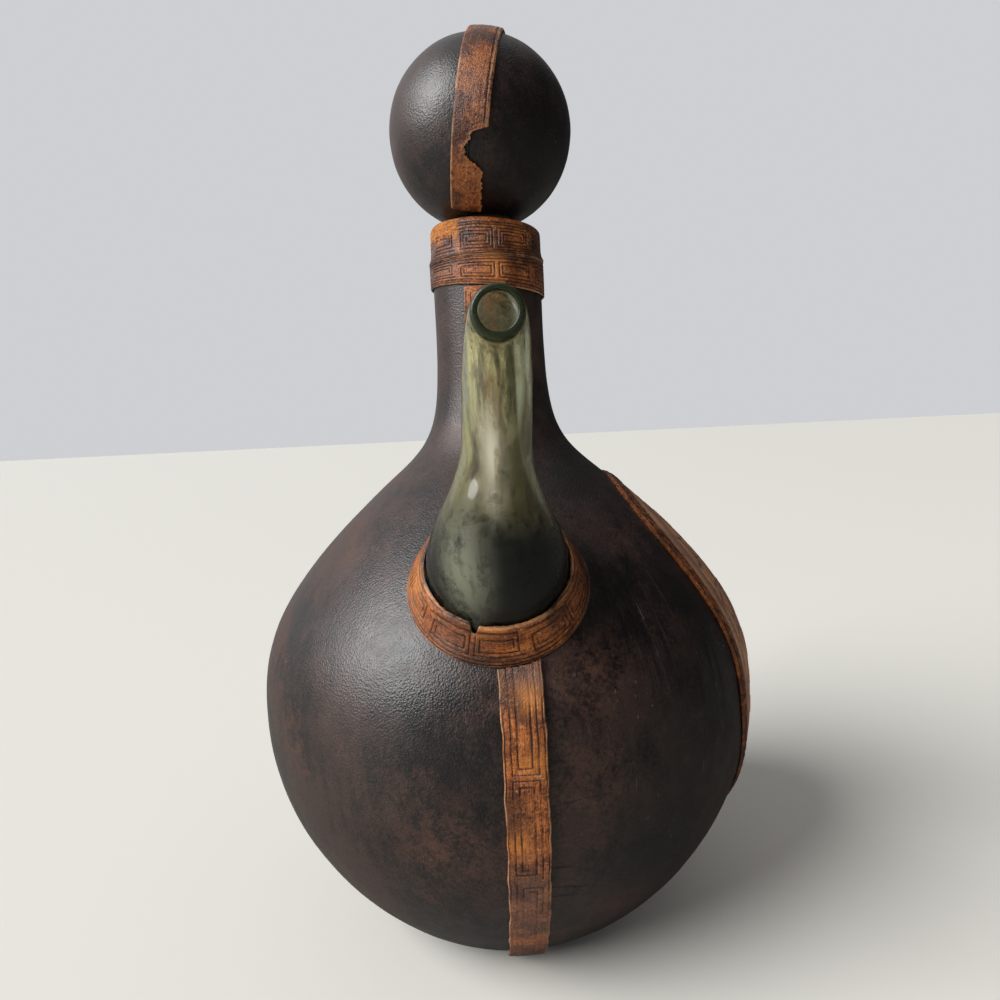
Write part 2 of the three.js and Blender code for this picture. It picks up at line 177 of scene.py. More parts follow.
class Bench:
    """Steps that every piece is modelled with."""

    @staticmethod
    def clear() -> None:
        """Leaves nothing selected, in object mode."""
        if bpy.context.mode != "OBJECT":
            bpy.ops.object.mode_set(mode="OBJECT")
        bpy.ops.object.select_all(action="DESELECT")

    @classmethod
    def pick(cls, piece: Piece) -> None:
        """Makes one piece the only selected one."""
        cls.clear()
        piece.select_set(True)
        bpy.context.view_layer.objects.active = piece

    @classmethod
    def open(cls, piece: Piece, action: str = "SELECT") -> None:
        """Opens a piece in edit mode, with all of it selected unless the action says otherwise."""
        cls.pick(piece)
        bpy.ops.object.mode_set(mode="EDIT")
        bpy.ops.mesh.select_all(action=action)

    @classmethod
    def named(cls, name: str) -> Piece:
        """Names the piece just added, settles its place into its mesh and returns it."""
        piece = bpy.context.object
        piece.name = name
        piece.data.name = name
        cls.pick(piece)
        bpy.ops.object.transform_apply(location=True, rotation=True, scale=True)
        return piece

    @staticmethod
    def points(piece: Piece) -> Array:
        """Returns the places of a piece's points."""
        flat = np.empty(len(piece.data.vertices) * 3, np.float32)
        piece.data.vertices.foreach_get("co", flat)
        return flat.reshape(-1, 3).astype(float)

    @staticmethod
    def move(piece: Piece, points: Array) -> None:
        """Sets the places of a piece's points."""
        piece.data.vertices.foreach_set("co", points.astype(np.float32).ravel())
        piece.data.update()

    @classmethod
    def turned(cls, name: str, profile: Array, segments: int) -> Piece:
        """Draws a profile by extruding one point, and spins it about the Z axis.

        Args:
            name: The piece's name.
            profile: Points of (radius, height); a point on the axis closes an end.
            segments: Facets of a full turn.

        Returns:
            The turned piece, its faces outwards.
        """
        cls.clear()
        bpy.ops.mesh.primitive_plane_add(size=MM)
        piece = cls.named(name)
        cls.open(piece)
        bpy.ops.mesh.merge(type="CENTER")
        bpy.ops.transform.translate(value=(profile[0][0], 0, profile[0][1]))
        for out, up in np.diff(profile, axis=0):
            bpy.ops.mesh.extrude_vertices_move(TRANSFORM_OT_translate={"value": (out, 0, up)})
        bpy.ops.mesh.select_all(action="SELECT")
        bpy.ops.mesh.spin(steps=segments, angle=TURN, center=(0, 0, 0), axis=(0, 0, 1))
        cls.close()
        return piece

    @staticmethod
    def close() -> None:
        """Merges doubles, turns the faces outwards and leaves edit mode."""
        bpy.ops.mesh.select_all(action="SELECT")
        bpy.ops.mesh.remove_doubles(threshold=WELD)
        bpy.ops.mesh.normals_make_consistent(inside=False)
        bpy.ops.object.mode_set(mode="OBJECT")

    @classmethod
    def cut(cls, piece: Piece, place: Vector, normal: Vector) -> None:
        """Cuts away what lies behind a plane, and leaves the cut open.

        Args:
            piece: What is cut.
            place: A point of the plane.
            normal: Points to the side that is kept.
        """
        cls.open(piece)
        bpy.ops.mesh.bisect(plane_co=place, plane_no=normal, clear_inner=True)
        bpy.ops.object.mode_set(mode="OBJECT")

    @classmethod
    def finish(cls, piece: Piece, kind: str, **settings: object) -> None:
        """Adds a modifier to a piece and applies it.

        Args:
            piece: What is changed.
            kind: The modifier's type.
            **settings: The modifier's own settings.
        """
        cls.pick(piece)
        step = piece.modifiers.new(kind.lower(), kind)
        for name, value in settings.items():
            setattr(step, name, value)
        bpy.ops.object.modifier_apply(modifier=step.name)

    @classmethod
    def combine(cls, piece: Piece, tool: Piece, operation: str) -> None:
        """Joins a solid to a piece or cuts it away.

        Args:
            piece: What is changed.
            tool: The other solid, which is used up.
            operation: UNION or DIFFERENCE.
        """
        cls.finish(piece, "BOOLEAN", object=tool, operation=operation, solver="EXACT")
        bpy.data.objects.remove(tool)

    @classmethod
    def laid(cls, name: str, columns: int, rows: int, place: Place, thickness: float,
             flip: bool = False) -> Piece:
        """Lays a flat grid where a function puts its points, and gives it a thickness below.

        Args:
            name: The piece's name.
            columns: Faces along the sheet.
            rows: Faces across it.
            place: Takes shares along and across; returns the points and the marks they keep.
            thickness: How thick the sheet is.
            flip: Whether the grid comes out face down and is turned over.

        Returns:
            The sheet as a closed shell, shaded smooth.
        """
        cls.clear()
        bpy.ops.mesh.primitive_grid_add(x_subdivisions=columns, y_subdivisions=rows, size=1)
        piece = cls.named(name)
        flat = cls.points(piece) + 0.5
        points, marks = place(np.clip(flat[:, 0], 0, 1), np.clip(flat[:, 1], 0, 1))
        cls.move(piece, points)
        for mark in Mark:
            layer = piece.data.attributes.new(mark.value, "FLOAT", "POINT")
            layer.data.foreach_set("value", marks.get(mark, np.zeros(len(points))).astype(np.float32))
        cls.trim(piece)
        cls.open(piece)
        bpy.ops.mesh.remove_doubles(threshold=WELD)
        if flip:
            bpy.ops.mesh.flip_normals()
        bpy.ops.object.mode_set(mode="OBJECT")
        cls.finish(piece, "SOLIDIFY", thickness=thickness, offset=-1, use_even_offset=False)
        return cls.smooth(piece)

    @classmethod
    def trim(cls, piece: Piece) -> None:
        """Deletes the faces that have a point with no place, as at a tear."""
        lost = np.isnan(cls.points(piece)).any(axis=1)
        if not lost.any():
            return
        cls.open(piece, "DESELECT")
        bpy.ops.object.mode_set(mode="OBJECT")
        piece.data.vertices.foreach_set("select", lost)
        bpy.ops.object.mode_set(mode="EDIT")
        bpy.ops.mesh.delete(type="VERT")
        bpy.ops.object.mode_set(mode="OBJECT")

    @classmethod
    def swell(cls, piece: Piece, size: float, height: float) -> None:
        """Gives a piece the slight unevenness of hide pressed over a form.

        Args:
            piece: What is changed.
            size: Length of the swells.
            height: Their full height.
        """
        texture = bpy.data.textures.new(piece.name + "_swells", "CLOUDS")
        texture.noise_scale = size
        texture.noise_depth = 2
        cls.finish(piece, "DISPLACE", texture=texture, texture_coords="LOCAL", strength=height, mid_level=0.5)

    @classmethod
    def bevel(cls, piece: Piece, width: float) -> None:
        """Rounds a piece's sharp edges."""
        cls.finish(piece, "BEVEL", width=width, segments=3, limit_method="ANGLE", angle_limit=BEVELLED)

    @classmethod
    def smooth(cls, piece: Piece) -> Piece:
        """Shades a piece smooth, apart from its sharp edges, and returns it."""
        cls.pick(piece)
        bpy.ops.object.shade_smooth_by_angle(angle=SHARP)
        return piece


# Sizes that pieces share


@dataclass(frozen=True)
class Fits:
    """Sheet thicknesses and the gaps between layers."""

    clearance: float = 0.3 * MM
    leather: float = 1.6 * MM
    strip: float = 1.2 * MM
    strip_width: float = 11 * MM
    band: float = 0.7 * MM

    @property
    def skin_outer(self) -> float:
        """Distance from the glass to the outside of the leather."""
        return self.clearance + self.leather

    @property
    def trim_inner(self) -> float:
        """Distance from the glass to the underside of the strips."""
        return self.skin_outer + self.clearance

    @property
    def trim_outer(self) -> float:
        """Distance from the glass to the face of the strips."""
        return self.trim_inner + self.strip


@dataclass(frozen=True)
class Outline:
    """The outside of the glass from the foot to the lip, turned about the Z axis."""

    hem_width: float = 8 * MM
    base_radius: float = 38.9 * MM
    base_slope: float = math.radians(34)
    base_reach: float = 22 * MM
    belly_height: float = 74 * MM
    belly_reach_down: float = 31.8 * MM
    belly_reach_up: float = 18.5 * MM
    shoulder_radius: float = 32.4 * MM
    shoulder_height: float = 147 * MM
    shoulder_slope: float = math.radians(40)
    shoulder_reach_down: float = 59.3 * MM
    shoulder_reach_up: float = 18.4 * MM
    neck_radius: float = 16 * MM
    neck_height: float = 200 * MM
    neck_reach: float = 36 * MM
    steps: int = 30
    hem_steps: int = 8

    @property
    def bottom(self) -> float:
        """Height of the glass foot."""
        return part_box("glass_flask")[0].z

    @property
    def top(self) -> float:
        """Height at which the leather ends, under the upper band."""
        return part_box("body_leather_left")[1].z

    @cached_property
    def glass(self) -> Array:
        """Points of (radius, height) from the base corner to the top of the leather."""
        base = (self.base_radius, self.bottom)
        belly = (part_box("glass_flask")[1].x, self.belly_height)
        shoulder = (self.shoulder_radius, self.shoulder_height)
        neck = (self.neck_radius, self.neck_height)
        rise = np.array([math.cos(self.base_slope), math.sin(self.base_slope)])
        lean = np.array([-math.cos(self.shoulder_slope), math.sin(self.shoulder_slope)])
        down, up = (0, -self.belly_reach_down), (0, self.belly_reach_up)
        lower = bezier(base, self.base_reach * rise, down, belly, self.steps)
        upper = bezier(belly, up, -self.shoulder_reach_down * lean, shoulder, self.steps)
        sweep = bezier(shoulder, self.shoulder_reach_up * lean, (0, -self.neck_reach), neck, self.steps)
        straight = np.linspace(neck, (self.neck_radius, self.top), self.hem_steps)
        return np.vstack([lower, upper[1:], sweep[1:], straight[1:]])

    def side(self, distance: float) -> Array:
        """Returns the outline moved out by a distance, without the hem."""
        return self.glass + distance * normals_of(self.glass)

    def skin(self, distance: float) -> Array:
        """Returns the outline moved out by a distance, with the hem turned under the foot."""
        side = self.side(distance)
        corner = np.array([self.base_radius, self.bottom])
        first = side[0] - corner
        end = math.atan2(first[1], first[0])
        turn = np.linspace(-math.pi / 2, end, self.hem_steps)[:-1, None]
        round_edge = corner + distance * np.hstack([np.cos(turn), np.sin(turn)])
        inside = [[self.base_radius - self.hem_width, self.bottom - distance]]
        return np.vstack([inside, round_edge, side])

    def radius(self, height: Array, distance: float) -> Array:
        """Returns the radius at a height, at a distance from the glass."""
        side = self.side(distance)
        return np.interp(height, side[:, 1], side[:, 0])

    def normal(self, height: float) -> tuple[float, float]:
        """Returns the outward normal, as (radius, height), at a height."""
        normal = normals_of(self.glass)
        return tuple(float(np.interp(height, self.glass[:, 1], normal[:, k])) for k in range(2))


@dataclass(frozen=True)
class SpoutPath:
    """The way of the spout: a root square to the shoulder, a sweep up, a tube and a bend to a level mouth."""

    outline: Outline
    height: float = 121.5 * MM
    shift: float = -0.9 * MM
    root_length: float = 6 * MM
    sweep_radius: float = 40 * MM
    tube_length: float = 30.4 * MM
    tube_elevation: float = math.radians(80)
    bend_radius: float = 11 * MM
    drift: float = math.radians(3.2)
    root_radius: float = 24 * MM
    root_depth: float = 3.5 * MM
    bulb_radius: float = 18.2 * MM
    throat: float = 44 * MM
    tube_radius: float = 8.4 * MM
    mouth_radius: float = 5.9 * MM
    mouth_power: int = 3
    collar_top: float = 10 * MM
    rim_round: float = 0.6 * MM
    rim_steps: int = 6
    facets: int = 14
    step: float = 1 * MM

    @cached_property
    def root_elevation(self) -> float:
        """Slope of the root's axis."""
        outwards, upwards = self.outline.normal(self.height)
        return math.atan2(upwards, outwards)

    @property
    def bend_start(self) -> float:
        """Length along the spout at which the bend starts."""
        sweep = self.sweep_radius * (self.tube_elevation - self.root_elevation)
        return self.root_length + sweep + self.tube_length

    @property
    def length(self) -> float:
        """Length along the spout at which the mouth ends."""
        return self.bend_start + self.bend_radius * self.tube_elevation

    def axis(self, along: Array) -> Array:
        """Returns the direction of the spout at each length along it."""
        sweep_length = self.bend_start - self.tube_length - self.root_length
        sweep = np.clip((along - self.root_length) / sweep_length, 0, 1)
        bend = np.clip((along - self.bend_start) / (self.length - self.bend_start), 0, 1)
        elevation = (self.root_elevation + (self.tube_elevation - self.root_elevation) * sweep) * (1 - bend)
        lean = self.drift * sweep
        upwards = np.sin(elevation)
        return np.column_stack([upwards * np.sin(lean), -np.cos(elevation), upwards * np.cos(lean)])

    @cached_property
    def line(self) -> tuple[Array, Array]:
        """Lengths along the spout, and the centre at each of them."""
        fine = np.arange(-2 * self.root_radius, self.length + self.root_radius, self.step / 4)
        middle = (fine[1:] + fine[:-1]) / 2
        steps = self.axis(middle) * (fine[1] - fine[0])
        path = np.vstack([np.zeros(3), np.cumsum(steps, axis=0)])
        start = np.array([np.interp(0, fine, path[:, k]) for k in range(3)])
        root = np.array([self.shift, -float(self.outline.radius(self.height, 0)), self.height])
        return fine, path + root - start

    def centres(self, along: Array) -> Array:
        """Returns the centre of the spout at each length along it."""
        fine, path = self.line
        return np.column_stack([np.interp(along, fine, path[:, k]) for k in range(3)])

    def radius(self, along: Array) -> Array:
        """Returns the outer radius at each length: a skirt, a bulb drawn in to the throat, and a tube."""
        skirt = np.clip((along + self.root_depth) / (self.collar_top + self.root_depth), 0, 1)
        flare = self.root_radius + (self.bulb_radius - self.root_radius) * skirt
        flare = flare + (self.tube_radius - flare) * smooth(along, self.collar_top, self.throat)
        narrowing = np.clip((along - self.throat) / (self.length - self.throat), 0, 1)
        return flare - (self.tube_radius - self.mouth_radius) * narrowing ** self.mouth_power

    def surface(self, along: Array, angle: Array, growth: Array) -> Array:
        """Returns points on the spout.

        Args:
            along: Length along the spout.
            angle: Angle about its axis, from +X over the top.
            growth: Distance outside the glass.

        Returns:
            One row for each point.
        """
        axis = self.axis(along)
        side = np.array([1.0, 0, 0]) - axis * axis[:, :1]
        side = side / np.linalg.norm(side, axis=1)[:, None]
        over = np.cross(axis, side)
        reach = (self.radius(along) + growth)[:, None]
        return self.centres(along) + reach * (side * np.cos(angle)[:, None] + over * np.sin(angle)[:, None])

    def distance(self, points: Array) -> Array:
        """Returns how far points lie outside the spout's glass, near its root."""
        along = np.arange(-self.root_radius, self.throat, self.step / 2)
        centres = self.centres(along)
        gaps = np.linalg.norm(points[:, None] - centres[None], axis=2) - self.radius(along)
        return gaps.min(axis=1)

    def tube(self, name: str, start: float, end: float, growth: float) -> Piece:
        """Draws a stretch of the spout as a path with a round section.

        Args:
            name: The piece's name.
            start: Length along the spout where the stretch starts.
            end: Length where it ends.
            growth: Distance outside the glass; below zero is inside.

        Returns:
            The stretch as a closed solid.
        """
        along = np.linspace(start, end, max(2, round((end - start) / self.step)))
        if end > self.length - self.step:
            rim = self.length - self.rim_round * np.linspace(0, 1, self.rim_steps) ** 2
            along = np.union1d(along, rim)
        into_rim = np.clip((along - self.length) / self.rim_round + 1, 0, 1)
        rounding = self.rim_round * (1 - np.sqrt(1 - into_rim ** 2)) * (1 if growth < 0 else -1)
        Bench.clear()
        bpy.ops.curve.primitive_nurbs_path_add()
        path = bpy.context.object
        path.data.splines.clear()
        line = path.data.splines.new("POLY")
        line.points.add(len(along) - 1)
        radii = self.radius(along) + growth + rounding
        for point, centre, radius in zip(line.points, self.centres(along), radii):
            point.co = (*centre, 1)
            point.radius = radius
        path.data.dimensions = "3D"
        path.data.bevel_depth = 1
        path.data.bevel_resolution = self.facets
        path.data.use_fill_caps = True
        Bench.pick(path)
        bpy.ops.object.convert(target="MESH")
        piece = Bench.named(name)
        Bench.open(piece)
        Bench.close()
        return piece


# Shader maths


class Link:
    """A shader socket whose operators add Math nodes."""

    def __init__(self, web: "Web", socket: bpy.types.NodeSocket) -> None:
        """Wraps a socket of a web of nodes."""
        self.web = web
        self.socket = socket

    def _math(self, operation: str, first: "Link | float", second: "Link | float") -> "Link":
        """Adds one Math node and returns its value."""
        return self.web.node("ShaderNodeMath", {"operation": operation}, {0: first, 1: second})

    def __add__(self, other: "Link | float") -> "Link":
        """Adds."""
        return self._math("ADD", self, other)

    def __radd__(self, other: float) -> "Link":
        """Adds to a number."""
        return self._math("ADD", other, self)

    def __sub__(self, other: "Link | float") -> "Link":
        """Subtracts."""
        return self._math("SUBTRACT", self, other)

    def __rsub__(self, other: float) -> "Link":
        """Subtracts from a number."""
        return self._math("SUBTRACT", other, self)

    def __mul__(self, other: "Link | float") -> "Link":
        """Multiplies."""
        return self._math("MULTIPLY", self, other)

    def __rmul__(self, other: float) -> "Link":
        """Multiplies a number."""
        return self._math("MULTIPLY", other, self)

    def most(self, other: "Link | float") -> "Link":
        """Returns the larger of two values."""
        return self._math("MAXIMUM", self, other)


class Web:
    """The nodes of one finish, or of the world."""

    def __init__(self, owner: Material | bpy.types.World) -> None:
        """Clears the owner's nodes."""
        self.owner = owner
        self.owner.use_nodes = True
        self.tree = owner.node_tree
        self.tree.nodes.clear()

    @classmethod
    def new(cls, name: str) -> "Web":
        """Starts an empty material."""
        return cls(bpy.data.materials.new(name))

    def node(self, kind: str, settings: dict | None = None, inputs: dict | None = None,
             out: str | int = 0) -> Link:
        """Adds a node.

        Args:
            kind: The node's type.
            settings: The node's own properties.
            inputs: Values or links by socket name or number.
            out: The output that is returned.

        Returns:
            One output of the node.
        """
        node = self.tree.nodes.new(kind)
        for name, value in (settings or {}).items():
            setattr(node, name, value)
        for name, value in (inputs or {}).items():
            if isinstance(value, Link):
                self.tree.links.new(value.socket, node.inputs[name])
            else:
                node.inputs[name].default_value = value
        return Link(self, node.outputs[out] if node.outputs else None)

    @cached_property
    def place(self) -> Link:
        """The place on the piece."""
        return self.node("ShaderNodeTexCoord", out="Object")

    def axis(self, name: str) -> Link:
        """Returns the X, Y or Z of the place."""
        return self.node("ShaderNodeSeparateXYZ", inputs={0: self.place}, out=name)

    def noise(self, scale: float, detail: float = 3, rough: float = 0.5, place: Link | None = None) -> Link:
        """Returns noise with a number of waves to the metre."""
        inputs = {"Vector": place or self.place, "Scale": scale, "Detail": detail, "Roughness": rough}
        return self.node("ShaderNodeTexNoise", inputs=inputs, out="Fac")

    def pebbles(self, scale: float) -> Link:
        """Returns the distance to the nearest of many scattered points, for hide grain."""
        settings = {"feature": "SMOOTH_F1"}
        inputs = {"Vector": self.place, "Scale": scale, "Smoothness": 0.6}
        return self.node("ShaderNodeTexVoronoi", settings, inputs, out="Distance")

    def stretched(self, turn: Sequence[float], stretch: Sequence[float]) -> Link:
        """Returns the place, turned and stretched."""
        inputs = {"Vector": self.place, "Rotation": turn, "Scale": stretch}
        return self.node("ShaderNodeMapping", inputs=inputs)

    def eased(self, value: Link, low: float, high: float) -> Link:
        """Returns 0 below low and 1 above high, eased between."""
        inputs = {"Value": value, "From Min": low, "From Max": high}
        return self.node("ShaderNodeMapRange", {"interpolation_type": "SMOOTHSTEP"}, inputs)

    def mark(self, mark: Mark) -> Link:
        """Returns a value kept on the piece's points."""
        return self.node("ShaderNodeAttribute", {"attribute_name": mark.value}, out="Fac")

    def mix(self, share: Link | float, first: Link | Color, second: Link | Color) -> Link:
        """Returns one colour, or another where the share is 1."""
        inputs = {"Factor": share, 6: first, 7: second}
        return self.node("ShaderNodeMix", {"data_type": "RGBA"}, inputs, out=2)

    def near(self, point: Sequence[float], reach: float, tall: float = 1) -> Link:
        """Returns 1 at a point, eased to 0 at a reach from it, or further up and down if tall."""
        squeeze = (1, 1, 1 / tall)
        place = self.node("ShaderNodeVectorMath", {"operation": "MULTIPLY"}, {0: self.place, 1: squeeze})
        inputs = {0: place, 1: tuple(a * b for a, b in zip(point, squeeze))}
        gap = self.node("ShaderNodeVectorMath", {"operation": "DISTANCE"}, inputs, out="Value")
        return 1 - self.eased(gap, 0, reach)

    def spotted(self, spots: Spots) -> Link:
        """Returns 1 in the middle of each spot, eased to 0 round it."""
        return reduce(Link.most, [self.near(centre, reach) for centre, reach in spots])

    def bump(self, height: Link, depth: float) -> Link:
        """Returns a normal for a height whose full range is a depth."""
        return self.node("ShaderNodeBump", inputs={"Height": height, "Strength": 1.0, "Distance": depth})

    def shader(self, **inputs: object) -> Link:
        """Returns a Principled shader; an input's underscores stand for spaces."""
        named = {name.replace("_", " "): value for name, value in inputs.items()}
        return self.node("ShaderNodeBsdfPrincipled", inputs=named)

    def done(self, surface: Link, volume: Link | None = None) -> Material:
        """Joins the shader to the output and returns the material."""
        ends = {"Surface": surface}
        if volume:
            ends["Volume"] = volume
        self.node("ShaderNodeOutputMaterial", inputs=ends)
        return self.owner


def tone(red: int, green: int, blue: int) -> Color:
    """Returns the shader's colour for a screen colour of 0 to 255."""
    def linear(value: int) -> float:
        share = value / 255
        return share / 12.92 if share <= 0.04045 else ((share + 0.055) / 1.055) ** 2.4
    return linear(red), linear(green), linear(blue), 1.0


# Finishes


@dataclass(frozen=True)
class DarkLeather:
    """Waxed near-black hide with pebbled grain, red-brown rubbed patches, cracks and pale scratches, and
    painted shade on its right side and under the ball.
    """

    name: str = "dark_leather"
    deep: Color = tone(14, 10, 9)
    plain: Color = tone(50, 34, 29)
    rubbed: Color = tone(74, 44, 31)
    scratch: Color = tone(128, 108, 96)
    grain: float = 1750
    fine_grain: float = 3500
    grain_depth: float = 0.092 * MM
    roughness: float = 0.4
    specular: float = 0.6
    cloud_scale: float = 30
    fine_scale: float = 170
    speck_scale: float = 900
    rub_scale: float = 42
    brush_stretch: tuple[float, float, float] = (260, 260, 60)
    dust_scale: float = 75
    patches: Spots = (
        ((-0.017, -0.076, 0.057), 0.026), ((0.019, -0.074, 0.1), 0.021), ((0.03, -0.062, 0.03), 0.02),
        ((-0.05, -0.03, 0.13), 0.024), ((0.012, -0.016, 0.19), 0.02))
    # Painted shade: darkened spots on the body's right side, away from the lamp, and on the ball's underside.
    painted_shade_spots: Spots = (
        ((0.055, -0.053, 0.085), 0.038), ((0.042, -0.062, 0.05), 0.03), ((0.02, -0.02, 0.249), 0.024),
        ((0.026, -0.03, 0.15), 0.024), ((0.062, -0.042, 0.108), 0.032), ((0, -0.012, 0.231), 0.021))
    folds: Spots = (((0.047, -0.055, 0.104), 0.034),)
    creased: Spots = (
        ((0.016, -0.0785, 0.072), 0.014), ((0.012, -0.0755, 0.045), 0.011),
        ((-0.044, 0.056, 0.1), 0.03), ((-0.066, -0.03, 0.05), 0.02))

    def material(self) -> Material:
        """Builds the finish."""
        web = Web.new(self.name)
        clouds = web.noise(self.cloud_scale, 6, 0.65)
        fine = web.noise(self.fine_scale, 5, 0.65)
        speck = web.noise(self.speck_scale, 4, 0.7)
        brushed = web.noise(1, 4, 0.6, web.stretched((0.2, 0.1, 0), self.brush_stretch))
        depth = web.eased(clouds * 0.55 + speck * 0.25 + brushed * 0.2, 0.42, 0.58)
        color = web.mix(depth, self.deep, self.plain)
        mottle = fine * 0.6 + speck * 0.4
        rub = web.eased(web.noise(self.rub_scale, 6, 0.7) * 0.75 + speck * 0.25, 0.52, 0.64) * 0.55
        rub = rub.most(web.spotted(self.patches) * web.eased(mottle, 0.4, 0.6) * 0.85)
        color = web.mix(rub, color, self.rubbed)
        # Painted shade: each spot darkens the hide towards its deep colour, broken up by a mottle.
        stain_and_shade = web.eased(mottle, 0.33, 0.5)
        for centre, reach in self.painted_shade_spots:
            color = web.mix(web.near(centre, reach) * stain_and_shade, color, self.deep)
        lines = self._scratches(web)
        color = web.mix(lines * 0.45, color, self.scratch)
        dots = {"Vector": web.place, "Scale": self.dust_scale}
        dust = web.eased(web.node("ShaderNodeTexVoronoi", inputs=dots, out="Distance"), 0.024, 0.014)
        color = web.mix(dust * 0.45, color, self.scratch)
        cracks = self._cracks(web)
        color = web.mix(cracks * 0.7, color, self.deep)
        grain = web.pebbles(self.grain) * 0.9 + web.pebbles(self.fine_grain) * 0.35 + speck * 0.4
        height = grain + self._folds(web) - lines * 0.4 - cracks * 2.5
        rough = self.roughness + (fine - 0.5) * 0.3 + (clouds - 0.5) * 0.3 + rub * 0.16 + lines * 0.1
        shader = web.shader(Base_Color=color, Roughness=rough, Normal=web.bump(height, self.grain_depth),
                            Specular_IOR_Level=self.specular)
        return web.done(shader)

    @staticmethod
    def _scratches(web: Web) -> Link:
        """Returns thin lines that run several ways."""
        ways = (((0.6, 0.9, 0.5), (1500, 1500, 60)), ((1.2, 0.5, -0.6), (1700, 1700, 75)),
                ((-0.8, 1.0, 0.2), (1400, 1400, 50)), ((1.5, 0.2, 0.9), (1600, 1600, 90)))
        lines = [web.noise(1, 2, 0.5, web.stretched(turn, stretch)) for turn, stretch in ways]
        return web.eased(reduce(Link.most, lines), 0.72, 0.77) * web.eased(web.noise(60, 4, 0.6), 0.5, 0.66)

    def _folds(self, web: Web) -> Link:
        """Returns soft folds that fan down the shoulder, where the hide was drawn over it."""
        turn = web.node("ShaderNodeMath", {"operation": "ARCTAN2"}, {0: web.axis("Y"), 1: web.axis("X")})
        fan = web.node("ShaderNodeCombineXYZ", inputs={0: turn * 15, 1: web.axis("Z") * 16})
        return web.spotted(self.folds) * web.eased(web.noise(1, 3, 0.5, fan), 0.42, 0.62) * 7

    def _cracks(self, web: Web) -> Link:
        """Returns a few level creases, with breaks in them."""
        wave = web.noise(1, 2, 0.5, web.stretched((0, 0.1, 0), (16, 16, 95)))
        ridge = web.eased((wave - 0.5) * (wave - 0.5), 0.0002, 0.0)
        places = web.eased(web.spotted(self.creased), 0.1, 0.4)
        return ridge * places * web.eased(web.noise(70, 2, 0.5), 0.36, 0.5)


@dataclass(frozen=True)
class TanLeather:
    """Orange-brown tooled leather, its lines dark, with stains and streaks, rubbed at the edges, and with
    painted shade and painted light in spots.
    """

    name: str = "tan_leather"
    dark: Color = tone(46, 23, 13)
    plain: Color = tone(106, 50, 19)
    pale: Color = tone(184, 103, 39)
    grey: Color = tone(104, 78, 68)
    line: Color = tone(26, 14, 9)
    # Fresh leather where the face has flaked off, and the colour of the painted light spots.
    fresh_and_lit: Color = tone(218, 136, 54)
    rim: Color = tone(194, 148, 106)
    grain: float = 1700
    grain_depth: float = 0.28 * MM
    roughness: float = 0.36
    fibre_stretch: tuple[float, float, float] = (14, 42, 1)
    cloud_scale: float = 150
    speck_scale: float = 1150
    stain_scale: float = 70
    line_scale: float = 230
    torn_scale: float = 2600
    # Painted shade: darkened spots on the collar's right, the bands' right, the ball strip and the band's top
    # under the ball, and a small one low on the front strip.
    painted_shade_spots: Spots = (
        ((0.0224, -0.062, 0.12), 0.022), ((0.021, -0.006, 0.216), 0.018), ((0, 0, 0.258), 0.054),
        ((-0.001, -0.081, 0.07), 0.009))
    grey_spots: Spots = (
        ((-0.0125, -0.0735, 0.108), 0.012), ((0.007, -0.077, 0.101), 0.009),
        ((0.002, -0.0745, 0.036), 0.03), ((-0.014, -0.013, 0.2145), 0.011))
    # Painted light: the collar's left side, which faces the lamp, and bright patches on the collar, the front
    # strip and the upper band.
    painted_light_spots: Spots = (
        ((-0.004, -0.08, 0.1145), 0.006), ((0.0055, -0.0789, 0.096), 0.007),
        ((0.0075, -0.0812, 0.0817), 0.008), ((-0.0225, -0.0641, 0.1241), 0.012),
        ((0.001, -0.082, 0.06), 0.008), ((0.003, -0.019, 0.212), 0.007))

    def material(self) -> Material:
        """Builds the finish."""
        web = Web.new(self.name)
        sheet = web.node("ShaderNodeTexCoord", out="UV")
        fibre = web.node("ShaderNodeMapping", inputs={"Vector": sheet, "Scale": self.fibre_stretch})
        streaks = web.noise(1, 5, 0.65, fibre)
        clouds = web.noise(self.cloud_scale, 5, 0.65)
        speck = web.noise(self.speck_scale, 4, 0.75)
        broken = 0.35 + 0.65 * web.eased(clouds * 0.5 + streaks * 0.3 + speck * 0.2, 0.4, 0.58)
        color = web.mix(web.eased(clouds * 0.5 + streaks * 0.5, 0.42, 0.58), self.plain, self.pale)
        color = web.mix(web.eased(speck, 0.5, 0.62) * 0.75, color, self.dark)
        color = web.mix(web.eased(speck, 0.43, 0.35) * 0.65, color, self.rim)
        stains = web.eased(web.noise(self.stain_scale, 5, 0.65), 0.47, 0.62)
        color = web.mix(stains * 0.75, color, self.dark)
        # Darkened spots are painted shade, grey ones worn leather and bright ones painted light.
        kinds = ((self.painted_shade_spots, self.dark, 0.9), (self.grey_spots, self.grey, 0.75),
                 (self.painted_light_spots, self.fresh_and_lit, 0.6))
        for spots, tint, share in kinds:
            for centre, reach in spots:
                color = web.mix(web.near(centre, reach) * broken * share, color, tint)
        color = web.mix(web.eased(streaks, 0.53, 0.63) * 0.6, color, self.dark)
        color = web.mix(web.mark(Mark.EDGE) * web.eased(clouds, 0.36, 0.56) * 0.45, color, self.rim)
        worn = web.mark(Mark.WORN)
        color = web.mix(worn * web.eased(speck * 0.6 + streaks * 0.4, 0.38, 0.62), color, self.fresh_and_lit)
        tooling = web.mark(Mark.TOOLING)
        darkening = 0.3 + 0.65 * web.eased(web.noise(self.line_scale, 4, 0.65), 0.3, 0.52)
        color = web.mix(tooling * darkening, color, self.line)
        fibres = web.noise(self.torn_scale, 3, 0.7) * 2.5
        height = web.pebbles(self.grain) * 0.4 - speck * 0.7 - streaks * 0.8 - tooling * 0.3 + worn * fibres
        rough = self.roughness + (clouds - 0.5) * 0.35 + worn * 0.3
        shader = web.shader(Base_Color=color, Roughness=rough, Normal=web.bump(height, self.grain_depth))
        return web.done(shader)


